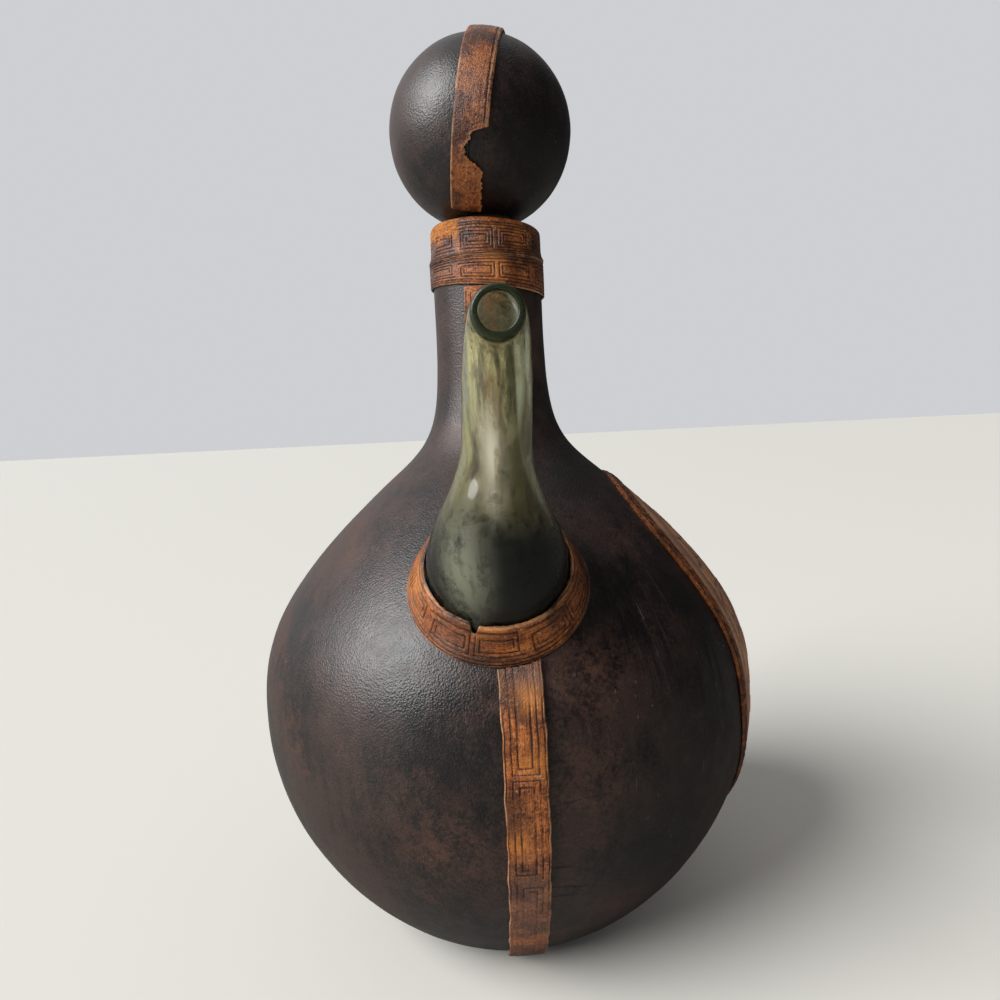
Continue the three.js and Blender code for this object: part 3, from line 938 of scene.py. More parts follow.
@dataclass(frozen=True)
class PanelLeather:
    """Faded tan leather with a tooled design, part of it painted grey-blue."""

    name: str = "panel_leather"
    ground: Color = tone(156, 110, 84)
    pale: Color = tone(188, 140, 108)
    dark: Color = tone(84, 58, 40)
    paint: Color = tone(84, 92, 98)
    ochre: Color = tone(178, 112, 66)
    line: Color = tone(44, 30, 22)
    grain: float = 1700
    grain_depth: float = 0.1 * MM
    cloud_scale: float = 60
    speck_scale: float = 1300
    stain_scale: float = 35
    polish_scale: float = 140
    roughness: float = 0.5

    def material(self) -> Material:
        """Builds the finish."""
        web = Web.new(self.name)
        clouds = web.noise(self.cloud_scale, 5, 0.6)
        speck = web.noise(self.speck_scale, 3, 0.7)
        ground = web.mix(web.eased(clouds, 0.35, 0.65), self.ground, self.pale)
        tint = web.mark(Mark.TINT)
        color = web.mix(web.eased(tint, 0.2, 0.5), ground, self.ochre)
        color = web.mix(web.eased(tint, 0.65, 0.9) * (0.7 + 0.3 * clouds), color, self.paint)
        color = web.mix(web.eased(speck, 0.45, 0.65) * 0.4, color, self.dark)
        color = web.mix(web.eased(web.noise(self.stain_scale, 4, 0.6), 0.52, 0.72) * 0.5, color, self.dark)
        color = web.mix(web.mark(Mark.TOOLING) * 0.75, color, self.line)
        color = web.mix(web.mark(Mark.EDGE) * 0.5, color, self.dark)
        height = web.pebbles(self.grain) * 0.5 + speck * 0.5
        rough = self.roughness + web.noise(self.polish_scale, 3, 0.6) * 0.2
        shader = web.shader(Base_Color=color, Roughness=rough, Normal=web.bump(height, self.grain_depth))
        return web.done(shader)


@dataclass(frozen=True)
class BaseLeather:
    """Rough flesh side of a hide, scuffed by tables."""

    name: str = "base_leather"
    dark: Color = tone(48, 34, 26)
    pale: Color = tone(92, 66, 48)
    nap_scale: float = 900
    nap_depth: float = 0.25 * MM
    scuff_scale: float = 70
    roughness: float = 0.75

    def material(self) -> Material:
        """Builds the finish."""
        web = Web.new(self.name)
        nap = web.noise(self.nap_scale, 5, 0.7)
        scuffs = web.noise(self.scuff_scale, 5, 0.6) * 0.6 + nap * 0.4
        color = web.mix(web.eased(scuffs, 0.35, 0.65), self.dark, self.pale)
        shader = web.shader(Base_Color=color, Roughness=self.roughness + nap * 0.2,
                            Normal=web.bump(nap, self.nap_depth))
        return web.done(shader)


@dataclass(frozen=True)
class GreenGlass:
    """Old olive bottle glass, filmed by what it held and streaked down the spout, with a painted reflection,
    painted highlights and painted shade in its film.
    """

    name: str = "green_glass"
    clear: Color = (0.95, 0.97, 0.88, 1)
    film: Color = tone(180, 171, 112)
    rim: Color = tone(28, 38, 14)
    stain_and_shade: Color = tone(82, 66, 36)
    # Painted reflection: the pale grey of the room on the bulb's left front.
    painted_reflection: Color = tone(118, 119, 99)
    # Painted highlight: near-white film in streaks on the tube.
    milk_and_highlight: Color = tone(222, 217, 194)
    # Near-black film low on the spout: partly dregs, partly painted shade where the dark flask shows through
    # the glass.
    dregs_and_shade: Color = tone(17, 20, 13)
    tint: Color = tone(152, 156, 78)
    density: float = 230
    ior: float = 1.5
    streak_stretch: tuple[float, float, float] = (420, 420, 32)
    blot_scale: float = 170
    film_top: float = 0.166
    film_milky: float = 0.192
    film_foot: float = 0.134
    rim_start: float = -0.0908
    rim_end: float = -0.0916
    # Painted reflection on the bulb's left front.
    painted_reflection_spots: Spots = (((-0.0088, -0.0842, 0.1285), 0.0108),)
    # Painted highlight down the front of the tube, and painted light on the tube's rear wall behind the
    # mouth.
    painted_highlight_spots: Spots = (((-0.0006, -0.0868, 0.157), 0.0052), ((0.0019, -0.0805, 0.188), 0.0115))
    stain_spots: Spots = (((0.009, -0.081, 0.152), 0.013), ((0.009, -0.078, 0.163), 0.009))

    def material(self) -> Material:
        """Builds the finish."""
        web = Web.new(self.name)
        streaks = web.noise(1, 5, 0.65, web.stretched((0, 0, 0), self.streak_stretch))
        blots = web.noise(self.blot_scale, 5, 0.7)
        height = web.axis("Z")
        rim = web.eased(web.axis("Y"), self.rim_start, self.rim_end)
        upper = web.eased(height + (blots - 0.5) * 0.02, self.film_foot, self.film_top)
        # Cloudier film towards the mouth.
        milk_and_highlight = web.eased(height, self.film_top, self.film_milky)
        cloud = web.eased(streaks * 0.6 + blots * 0.4, 0.42, 0.6) * (0.2 + 0.24 * upper + 0.3 * milk_and_highlight)
        rough = 0.05 + cloud * 0.22
        glass = web.shader(Base_Color=self.clear, Roughness=rough, IOR=self.ior, Transmission_Weight=1.0)
        film = web.mix(web.eased(blots, 0.5, 0.68), self.film, self.stain_and_shade)
        # Partly painted shade: the film turns near-black below its foot, low on the spout.
        film = web.mix(upper, self.dregs_and_shade, film)
        share = cloud.most((1 - upper) * web.eased(blots, 0.25, 0.55) * 0.8)
        ragged = 0.35 + 0.65 * web.eased(streaks * 0.7 + blots * 0.3, 0.34, 0.56)
        kinds = ((self.stain_spots, self.stain_and_shade, 0.55, 1.5), (self.painted_reflection_spots, self.painted_reflection, 0.45, 2.2),
                 (self.painted_highlight_spots, self.milk_and_highlight, 0.6, 4))
        for spots, tint, most, tall in kinds:
            for centre, reach in spots:
                spot = web.near(centre, reach, tall) * ragged
                film = web.mix(spot, film, tint)
                share = share.most(spot * most)
        film = web.mix(rim, film, self.rim)
        # The film's shader, with dirt and the painted reflection, highlights and shade.
        dirt_and_painted_light = web.shader(Base_Color=film, Roughness=0.3 + 0.2 * blots)
        share = share.most(rim * 0.8)
        surface = web.node("ShaderNodeMixShader", inputs={0: share, 1: glass, 2: dirt_and_painted_light})
        volume = web.node("ShaderNodeVolumeAbsorption", inputs={"Color": self.tint, "Density": self.density})
        return web.done(surface, volume)


@dataclass(frozen=True)
class Cork:
    """Natural cork with darker pores, and painted shade on its top, under the ball."""

    name: str = "cork"
    plain: Color = tone(190, 148, 102)
    pale: Color = tone(214, 178, 132)
    pore: Color = tone(86, 58, 38)
    # Painted shade: the cork's top, in the shadow under the ball, turns near-black.
    darkening: Color = tone(34, 30, 20)
    shade_foot: float = 0.2255
    shade_top: float = 0.2275
    fleck_scale: float = 420
    pore_stretch: tuple[float, float, float] = (330, 330, 900)
    pore_depth: float = 0.3 * MM
    roughness: float = 0.8

    def material(self) -> Material:
        """Builds the finish."""
        web = Web.new(self.name)
        fleck = web.noise(self.fleck_scale, 5, 0.7)
        holes = web.noise(1, 3, 0.6, web.stretched((0, 0, 0), self.pore_stretch))
        pores = web.eased(holes, 0.6, 0.68)
        color = web.mix(web.eased(fleck, 0.35, 0.65), self.plain, self.pale)
        color = web.mix(pores, color, self.pore)
        # Painted shade on the cork's top.
        color = web.mix(web.eased(web.axis("Z"), self.shade_foot, self.shade_top), color, self.darkening)
        shader = web.shader(Base_Color=color, Roughness=self.roughness + pores * 0.1,
                            Normal=web.bump(fleck * 0.4 - pores, self.pore_depth))
        return web.done(shader)


@dataclass(frozen=True)
class Wood:
    """Turned pale wood with rings along the grain."""

    name: str = "wood"
    plain: Color = tone(170, 128, 82)
    dark: Color = tone(122, 84, 50)
    ring_stretch: tuple[float, float, float] = (500, 500, 25)
    ring_depth: float = 0.1 * MM
    roughness: float = 0.6

    def material(self) -> Material:
        """Builds the finish."""
        web = Web.new(self.name)
        rings = web.noise(1, 4, 0.6, web.stretched((0.1, 0.05, 0), self.ring_stretch))
        color = web.mix(web.eased(rings, 0.4, 0.65), self.plain, self.dark)
        shader = web.shader(Base_Color=color, Roughness=self.roughness + rings * 0.15,
                            Normal=web.bump(rings, self.ring_depth))
        return web.done(shader)


def dress(piece: Piece, material: Material, body: Body, slot: Slot, *nodes: str) -> None:
    """Gives a piece its finish and its place in the frame.

    Args:
        piece: The finished mesh.
        material: Its finish.
        body: The body that it rides on.
        slot: The record's slot of its finish; not used.
        *nodes: The CAD nodes that it stands for.
    """
    piece.data.materials.clear()
    piece.data.materials.append(material)
    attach(piece, body.value)
    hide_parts(*nodes)
    LOG.info("%s: %d faces on %s", piece.name, len(piece.data.polygons), body.value)


# Tooling


@dataclass(frozen=True)
class Fret:
    """A tooled running key: one squared spiral in each unit, turned about in the next, between edge lines."""

    unit: float = 11 * MM
    line: float = 0.4 * MM
    margin: float = 0.55 * MM
    bar: float = 1.5 * MM
    pitch: float = 1.15 * MM
    wander: float = 0.14 * MM
    edge_lines: int = 1

    def marks(self, along: Array, across: Array, width: float) -> Array:
        """Returns how deep the tooling is.

        Args:
            along: Distance along the strip.
            across: Distance from one edge.
            width: Width of the strip.

        Returns:
            1 in a line and 0 beside it.
        """
        x = along + self.wander * ripple(along, across, 3 * self.unit, 1.0)
        y = across - width / 2 + self.wander * ripple(along, across, 2 * self.unit, 2.0)
        cell = np.floor(x / self.unit)
        side = np.where(cell % 2 == 0, 1, -1)
        x = side * (x - (cell + 0.5) * self.unit)
        inset = self.margin + 0.8 * self.pitch * np.arange(self.edge_lines)
        gap = np.min([np.abs(np.abs(y) - (width / 2 - at)) for at in inset], axis=0)
        turns = self._spiral((self.unit - self.bar) / 2, width / 2 - inset[-1] - self.pitch)
        for (x0, y0), (x1, y1) in zip(turns, turns[1:]):
            over_x = np.maximum(np.maximum(min(x0, x1) - x, x - max(x0, x1)), 0)
            over_y = np.maximum(np.maximum(min(y0, y1) - side * y, side * y - max(y0, y1)), 0)
            gap = np.minimum(gap, np.hypot(over_x, over_y))
        return 1 - smooth(gap, 0.2 * self.line, 0.75 * self.line)

    def _spiral(self, length: float, height: float) -> list[tuple[float, float]]:
        """Returns the corners of a squared spiral within a half length and a half height."""
        corners = [(-length, height)]
        step = 0.0
        while step < height - 0.3 * self.pitch:
            right, top = length - step, height - step
            corners += [(right, top), (right, -top), (self.pitch - right, -top)]
            step += self.pitch
            if step < height:
                corners.append((self.pitch - right, height - step))
        return corners


@dataclass(frozen=True)
class Sheet:
    """Thickness, edge and tooling that laid strips share."""

    grid: float = 0.26 * MM
    round_edge: float = 0.5 * MM
    edge_share: float = 0.8
    groove: float = 0.16 * MM
    edge_wander: float = 0.6 * MM
    rub_width: float = 0.7 * MM

    def counts(self, length: float, width: float) -> tuple[int, int]:
        """Returns how many faces a sheet has along and across."""
        return max(2, round(length / self.grid)), max(2, round(width / self.grid))

    def drop(self, across: Array, width: float, tooling: Array) -> Array:
        """Returns how far a sheet's face lies below its full height, at its edges and in its tooling."""
        near = np.minimum(across, width - across)
        share = np.clip(1 - near / self.round_edge, 0, 1)
        round_off = self.edge_share * self.round_edge * (1 - np.sqrt(1 - share * share))
        return round_off + self.groove * tooling

    def edge(self, across: Array, width: float) -> Array:
        """Returns 1 at a sheet's edges, eased to 0 inside."""
        near = np.minimum(across, width - across)
        return 1 - smooth(near, 0.2 * self.rub_width, self.rub_width)


# Sub-assemblies


@dataclass
class Flask:
    """The glass, and the two leather halves glued round it."""

    fits: Fits
    outline: Outline
    spout: SpoutPath
    glass_wall: float = 3 * MM
    bore_radius: float = 10.5 * MM
    lip_radius: float = 16.7 * MM
    lip_height: float = 10.5 * MM
    foot_width: float = 12.9 * MM
    punt_height: float = 8 * MM
    spout_wall: float = 1.6 * MM
    burial: float = 9.9 * MM
    segments: int = 160
    swell_size: float = 20 * MM
    swell_height: float = 0.3 * MM

    def build(self, glass: Material, leather: Material) -> None:
        """Models the flask and dresses it."""
        dress(self.glass(), glass, Body.FLASK, Slot.GLASS, "glass_flask")
        for side, name in ((-1, "body_leather_left"), (1, "body_leather_right")):
            dress(self.leather(side, name + "_skin"), leather, Body.FLASK, Slot.DARK, name)

    def glass(self) -> Piece:
        """Models the bottle with its punt, its lip and its spout as one hollow solid."""
        line = self.outline.glass
        bottom, top = self.outline.bottom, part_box("glass_flask")[1].z
        foot = self.outline.base_radius - self.foot_width
        crown = (0, bottom + self.punt_height)
        punt = bezier(crown, (foot / 2, 0), (-foot / 4, 0), (foot, bottom), self.outline.hem_steps)
        lip = [[self.lip_radius, top - self.lip_height], [self.lip_radius, top], [0, top]]
        outside = Bench.turned("green_glass_flask", np.vstack([punt, line, lip]), self.segments)
        neck_wall = self.outline.neck_radius - self.bore_radius
        neck = smooth(line[:, 1], self.outline.shoulder_height, self.outline.neck_height)
        wall = self.glass_wall + (neck_wall - self.glass_wall) * neck
        inner = line - wall[:, None] * normals_of(line)
        beyond = top + self.fits.clearance
        lifted = punt + (0, self.glass_wall)
        bore_end = [[self.bore_radius, beyond], [0, beyond]]
        hollow = Bench.turned("hollow", np.vstack([lifted, inner[1:], bore_end]), self.segments)
        spout = self.spout
        Bench.combine(outside, spout.tube("spout", -self.burial, spout.length, 0), "UNION")
        Bench.combine(outside, hollow, "DIFFERENCE")
        past = spout.length + self.fits.clearance
        bore = spout.tube("spout_bore", -2 * self.burial, past, -self.spout_wall)
        Bench.combine(outside, bore, "DIFFERENCE")
        return Bench.smooth(outside)

    def leather(self, side: int, name: str) -> Piece:
        """Models one half of the leather, with its share of the hole for the spout."""
        piece = Bench.turned(name, self.outline.skin(self.fits.skin_outer), self.segments)
        Bench.cut(piece, Vector((side * self.fits.clearance / 2, 0, 0)), Vector((side, 0, 0)))
        Bench.swell(piece, self.swell_size, self.swell_height)
        Bench.finish(piece, "SOLIDIFY", thickness=self.fits.leather - self.swell_height / 2, offset=-1)
        hole = self.spout.tube("hole", -self.burial, self.spout.throat, self.fits.clearance)
        Bench.combine(piece, hole, "DIFFERENCE")
        return Bench.smooth(piece)


@dataclass
class SeamStrips:
    """The tan strips over the seams: below the spout, up the neck and down the back."""

    fits: Fits
    outline: Outline
    spout: SpoutPath
    sheet: Sheet
    fret: Fret = Fret(unit=30 * MM, pitch=1.6 * MM)
    faded_foot: float = 52 * MM
    faded_reach: float = 22 * MM
    front_turn: float = math.radians(2.6)
    neck_turn: float = math.radians(-6)
    edge_bow: float = 9 * MM
    edge_wave: float = 26 * MM
    wear_wave: float = 34 * MM
    end_lines: int = 45
    end_steps: int = 400
    end_reach: float = 6 * MM

    def build(self, tan: Material) -> None:
        """Models the three strips and dresses them."""
        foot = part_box("front_strip")[0].z
        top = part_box("back_strip")[1].z
        front_top, neck_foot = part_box("front_strip")[1].z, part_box("neck_strip")[0].z
        plan = (("front_strip", self.front_turn, foot, front_top),
                ("neck_strip", self.neck_turn, neck_foot, top),
                ("back_strip", math.pi, foot, top))
        for name, turn, low, high in plan:
            dress(self.strip(name + "_tooled", turn, low, high), tan, Body.FLASK, Slot.TAN, name)

    def strip(self, name: str, turn: float, low: float, high: float) -> Piece:
        """Models one strip between two heights.

        Args:
            name: The piece's name.
            turn: Angle to the right of the front.
            low: Height of its lower end.
            high: Height of its upper end.

        Returns:
            The strip.
        """
        face = self.outline.side(self.fits.trim_outer)
        glass = self.outline.glass
        normal = normals_of(glass)
        run = lengths_of(face)
        start, end = (float(np.interp(z, face[:, 1], run)) for z in (low, high))
        width = self.fits.strip_width

        def place(along: Array, across: Array) -> tuple[Array, Marks]:
            wave = ripple(along * (end - start), across * self.edge_bow, self.edge_wave, turn + low / MM)
            offset = (across - 0.5) * (width + self.sheet.edge_wander * wave)
            first, last = self._ends(offset, turn, start, end, face, run)
            length = first + along * (last - first)
            level = np.interp(length, run, face[:, 1])
            kept = 0.4 + 0.6 * smooth(ripple(length, across * width, self.wear_wave, 7.0 + turn), -0.5, 0.1)
            kept = kept * (1 - 0.65 * smooth(self.faded_foot - level, 0, self.faded_reach))
            tooling = kept * self.fret.marks(length, across * width, width)
            height = self.fits.trim_outer - self.sheet.drop(across * width, width, tooling)
            radius = np.interp(length, run, glass[:, 0]) + height * np.interp(length, run, normal[:, 0])
            z = np.interp(length, run, glass[:, 1]) + height * np.interp(length, run, normal[:, 1])
            marks = {Mark.TOOLING: tooling, Mark.EDGE: self.sheet.edge(across * width, width)}
            return self._around(offset, radius, z, turn), marks

        columns, rows = self.sheet.counts(end - start, width)
        return Bench.laid(name, columns, rows, place, self.fits.strip - self.sheet.round_edge, True)

    @staticmethod
    def _around(offset: Array, radius: Array, height: Array, turn: float) -> Array:
        """Returns points at an offset from the seam plane, on a radius, turned about the axis."""
        depth = -np.sqrt(np.maximum(radius ** 2 - offset ** 2, 0))
        x = offset * math.cos(turn) - depth * math.sin(turn)
        y = offset * math.sin(turn) + depth * math.cos(turn)
        return np.column_stack([x, y, height])

    def _ends(self, offset: Array, turn: float, start: float, end: float, face: Array,
              run: Array) -> tuple[Array, Array]:
        """Returns where each line of a strip starts and ends, clear of the spout's collar."""
        if abs(turn) > math.pi / 2:
            return np.full(len(offset), start), np.full(len(offset), end)
        reach = self.fits.strip + 0.3 * self.fits.clearance
        lines = np.linspace(offset.min(), offset.max(), self.end_lines)
        firsts, lasts = np.full(len(lines), start), np.full(len(lines), end)
        at = np.linspace(start - self.end_reach, end + self.end_reach, self.end_steps)
        radius, z = np.interp(at, run, face[:, 0]), np.interp(at, run, face[:, 1])
        low_side = z < self.spout.height
        ends_there = start < np.interp(self.spout.height, face[:, 1], run)
        for k, line in enumerate(lines):
            free = self.spout.distance(self._around(np.full(len(at), line), radius, z, turn)) > reach
            if ends_there:
                blocked = at[~free & low_side]
                lasts[k] = blocked.min() if len(blocked) else end
            else:
                blocked = at[~free & ~low_side]
                firsts[k] = blocked.max() if len(blocked) else start
        return np.interp(offset, lines, firsts), np.interp(offset, lines, lasts)


@dataclass
class SpoutCollar:
    """The tan collar round the foot of the spout, torn at its inner edge."""

    fits: Fits
    outline: Outline
    spout: SpoutPath
    sheet: Sheet
    fret: Fret = Fret(unit=15 * MM, pitch=1.35 * MM, edge_lines=2)
    notch_angle: float = math.radians(251)
    notch_width: float = 2.6 * MM
    notch_depth: float = 2 * MM
    ragged: float = 0.6 * MM
    lip_width: float = 2.4 * MM
    lip_drop: float = 0.35 * MM
    ragged_wave: float = 15 * MM
    angle_steps: int = 241
    foot_reach: float = 12 * MM
    halvings: int = 30

    @property
    def face(self) -> float:
        """Distance from the glass to the collar's face."""
        return self.fits.clearance + self.fits.strip

    def build(self, tan: Material) -> None:
        """Models the collar and dresses it."""
        dress(self.collar(), tan, Body.FLASK, Slot.TAN, "spout_collar")

    def collar(self) -> Piece:
        """Models the collar as a sheet from the leather up to the glass."""
        angles = np.linspace(0, TURN, self.angle_steps)
        feet = self._feet(angles)
        round_length = TURN * self.spout.root_radius
        width = self.spout.collar_top - feet.min()

        def place(along: Array, across: Array) -> tuple[Array, Marks]:
            angle = along * TURN
            foot = np.interp(angle, angles, feet)
            arc = (angle - self.notch_angle) * self.spout.bulb_radius
            top = self.spout.collar_top - self.ragged * (0.5 + 0.5 * ripple(arc, arc, self.ragged_wave, 3.0))
            notch = 1 - smooth(np.abs(arc), 0.1 * self.notch_width, 0.5 * self.notch_width)
            tall = top - self.notch_depth * notch - foot
            spread = tall * across
            tooling = self.fret.marks(along * round_length, np.clip(spread, 0, width), width)
            lip = self.lip_drop * smooth(spread - tall, -self.lip_width, 0)
            growth = self.face - self.sheet.drop(spread, tall, tooling) - lip
            marks = {Mark.TOOLING: tooling, Mark.EDGE: self.sheet.edge(spread, tall)}
            return self.spout.surface(foot + spread, angle, growth), marks

        columns, rows = self.sheet.counts(round_length, width)
        thickness = self.fits.strip - self.sheet.round_edge
        return Bench.laid("spout_collar_tooled", columns, rows, place, thickness)

    def _feet(self, angles: Array) -> Array:
        """Returns the length along the spout at which the collar meets the leather, by angle."""
        low = np.full(len(angles), -self.spout.root_depth - self.foot_reach)
        high = np.full(len(angles), self.spout.collar_top)
        growth = np.full(len(angles), self.face)
        for _ in range(self.halvings):
            middle = (low + high) / 2
            points = self.spout.surface(middle, angles, growth)
            skin = self.outline.radius(points[:, 2], self.fits.trim_inner)
            outside = np.hypot(points[:, 0], points[:, 1]) > skin
            high = np.where(outside, middle, high)
            low = np.where(outside, low, middle)
        return high


@dataclass
class NeckBands:
    """The two tooled bands at the top of the neck, the upper one folded over the lip."""

    fits: Fits
    sheet: Sheet
    fret: Fret = Fret(unit=13 * MM, pitch=1 * MM, edge_lines=2)
    lower_slant: float = 2 * MM
    upper_slant: float = 1.2 * MM
    flare: float = 0.8 * MM
    overlap: float = 0.28 * MM
    hem_rise: float = 0.8 * MM
    hem_turn: float = 2 * MM
    hem_end: float = 4 * MM
    crown_round: float = 2.2 * MM
    crown_steps: int = 8
    worn_angle: float = math.radians(212)
    worn_reach: float = math.radians(34)
    worn_start: float = 0.62
    worn_wave: float = 9 * MM
    worn_depth: float = 0.18 * MM
    spare: float = 0.3 * MM

    def build(self, tan: Material) -> None:
        """Models both bands and dresses them."""
        dress(self.lower(), tan, Body.FLASK, Slot.TAN, "neck_band_lower")
        dress(self.upper(), tan, Body.FLASK, Slot.TAN, "neck_band_upper")

    def lower(self) -> Piece:
        """Models the lower band."""
        low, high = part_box("neck_band_lower")
        profile = np.array([[high.x, low.z], [high.x, high.z]])
        slant = (self.lower_slant, 0)
        return self._band("neck_band_lower_tooled", profile, self.fits.band, high.z - low.z, 0, slant)

    def upper(self) -> Piece:
        """Models the upper band, with its thick lower edge and its fold over the lip."""
        low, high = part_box("neck_band_upper")
        outer = high.x - self.flare
        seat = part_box("stopper_cork")[1].x + 2 * self.fits.clearance
        side, over = (outer, high.z - self.crown_round), (outer - self.crown_round, high.z)
        half = self.crown_round / 2
        crown = bezier(side, (0, half), (half, 0), over, self.crown_steps)
        hem = [[high.x, low.z - self.overlap], [high.x, low.z + self.hem_rise],
               [outer + 0.3 * self.flare, low.z + self.hem_turn], [outer, low.z + self.hem_end]]
        profile = np.vstack([hem, crown, [[seat, high.z]]])
        tooled = high.z - low.z - half
        slant = (0, self.upper_slant)
        return self._band("neck_band_upper_tooled", profile, self.fits.strip, tooled, 1, slant)

    def _band(self, name: str, profile: Array, thickness: float, tooled: float, wear: float,
              slant: tuple[float, float]) -> Piece:
        """Models a band from a profile that runs up and over.

        Args:
            name: The piece's name.
            profile: Points of (radius, height) on its face.
            thickness: How thick its leather is.
            tooled: How far from its lower edge the tooling reaches.
            wear: 1 where its face has flaked off at one side.
            slant: How much higher the lower and the upper edge lie at the left than on average.

        Returns:
            The band.
        """
        run = lengths_of(profile)
        width = run[-1]
        around = TURN * profile[0][0]
        normal = normals_of(profile)
        units = round(around / self.fret.unit)
        foot, crown = profile[0][1], profile[-1][1]

        def place(along: Array, across: Array) -> tuple[Array, Marks]:
            angle = along * TURN
            length = across * width
            tooling = self.fret.marks(along * units * self.fret.unit, np.clip(length, 0, tooled), tooled)
            turned_by = np.abs((angle - self.worn_angle + math.pi) % TURN - math.pi) / self.worn_reach
            wander = 0.2 * ripple(along * around, length, self.worn_wave, 5.0)
            high_up = length / tooled - self.worn_start + wander
            worn = wear * smooth(high_up, 0, 0.05) * (1 - smooth(turned_by, 0.75, 1))
            tooling = np.where(length < tooled, tooling, 0) * (1 - worn)
            depth = self.sheet.drop(length, width, tooling) + worn * self.worn_depth
            r = np.interp(length, run, profile[:, 0]) - depth * np.interp(length, run, normal[:, 0])
            z = np.interp(length, run, profile[:, 1]) - depth * np.interp(length, run, normal[:, 1])
            lift = slant[0] + (slant[1] - slant[0]) * (z - foot) / (crown - foot)
            points = np.column_stack([r * np.cos(angle), r * np.sin(angle), z - lift * np.cos(angle)])
            return points, {Mark.TOOLING: tooling, Mark.EDGE: self.sheet.edge(length, width), Mark.WORN: worn}

        columns, rows = self.sheet.counts(around, width)
        return Bench.laid(name, columns, rows, place, thickness - self.spare)


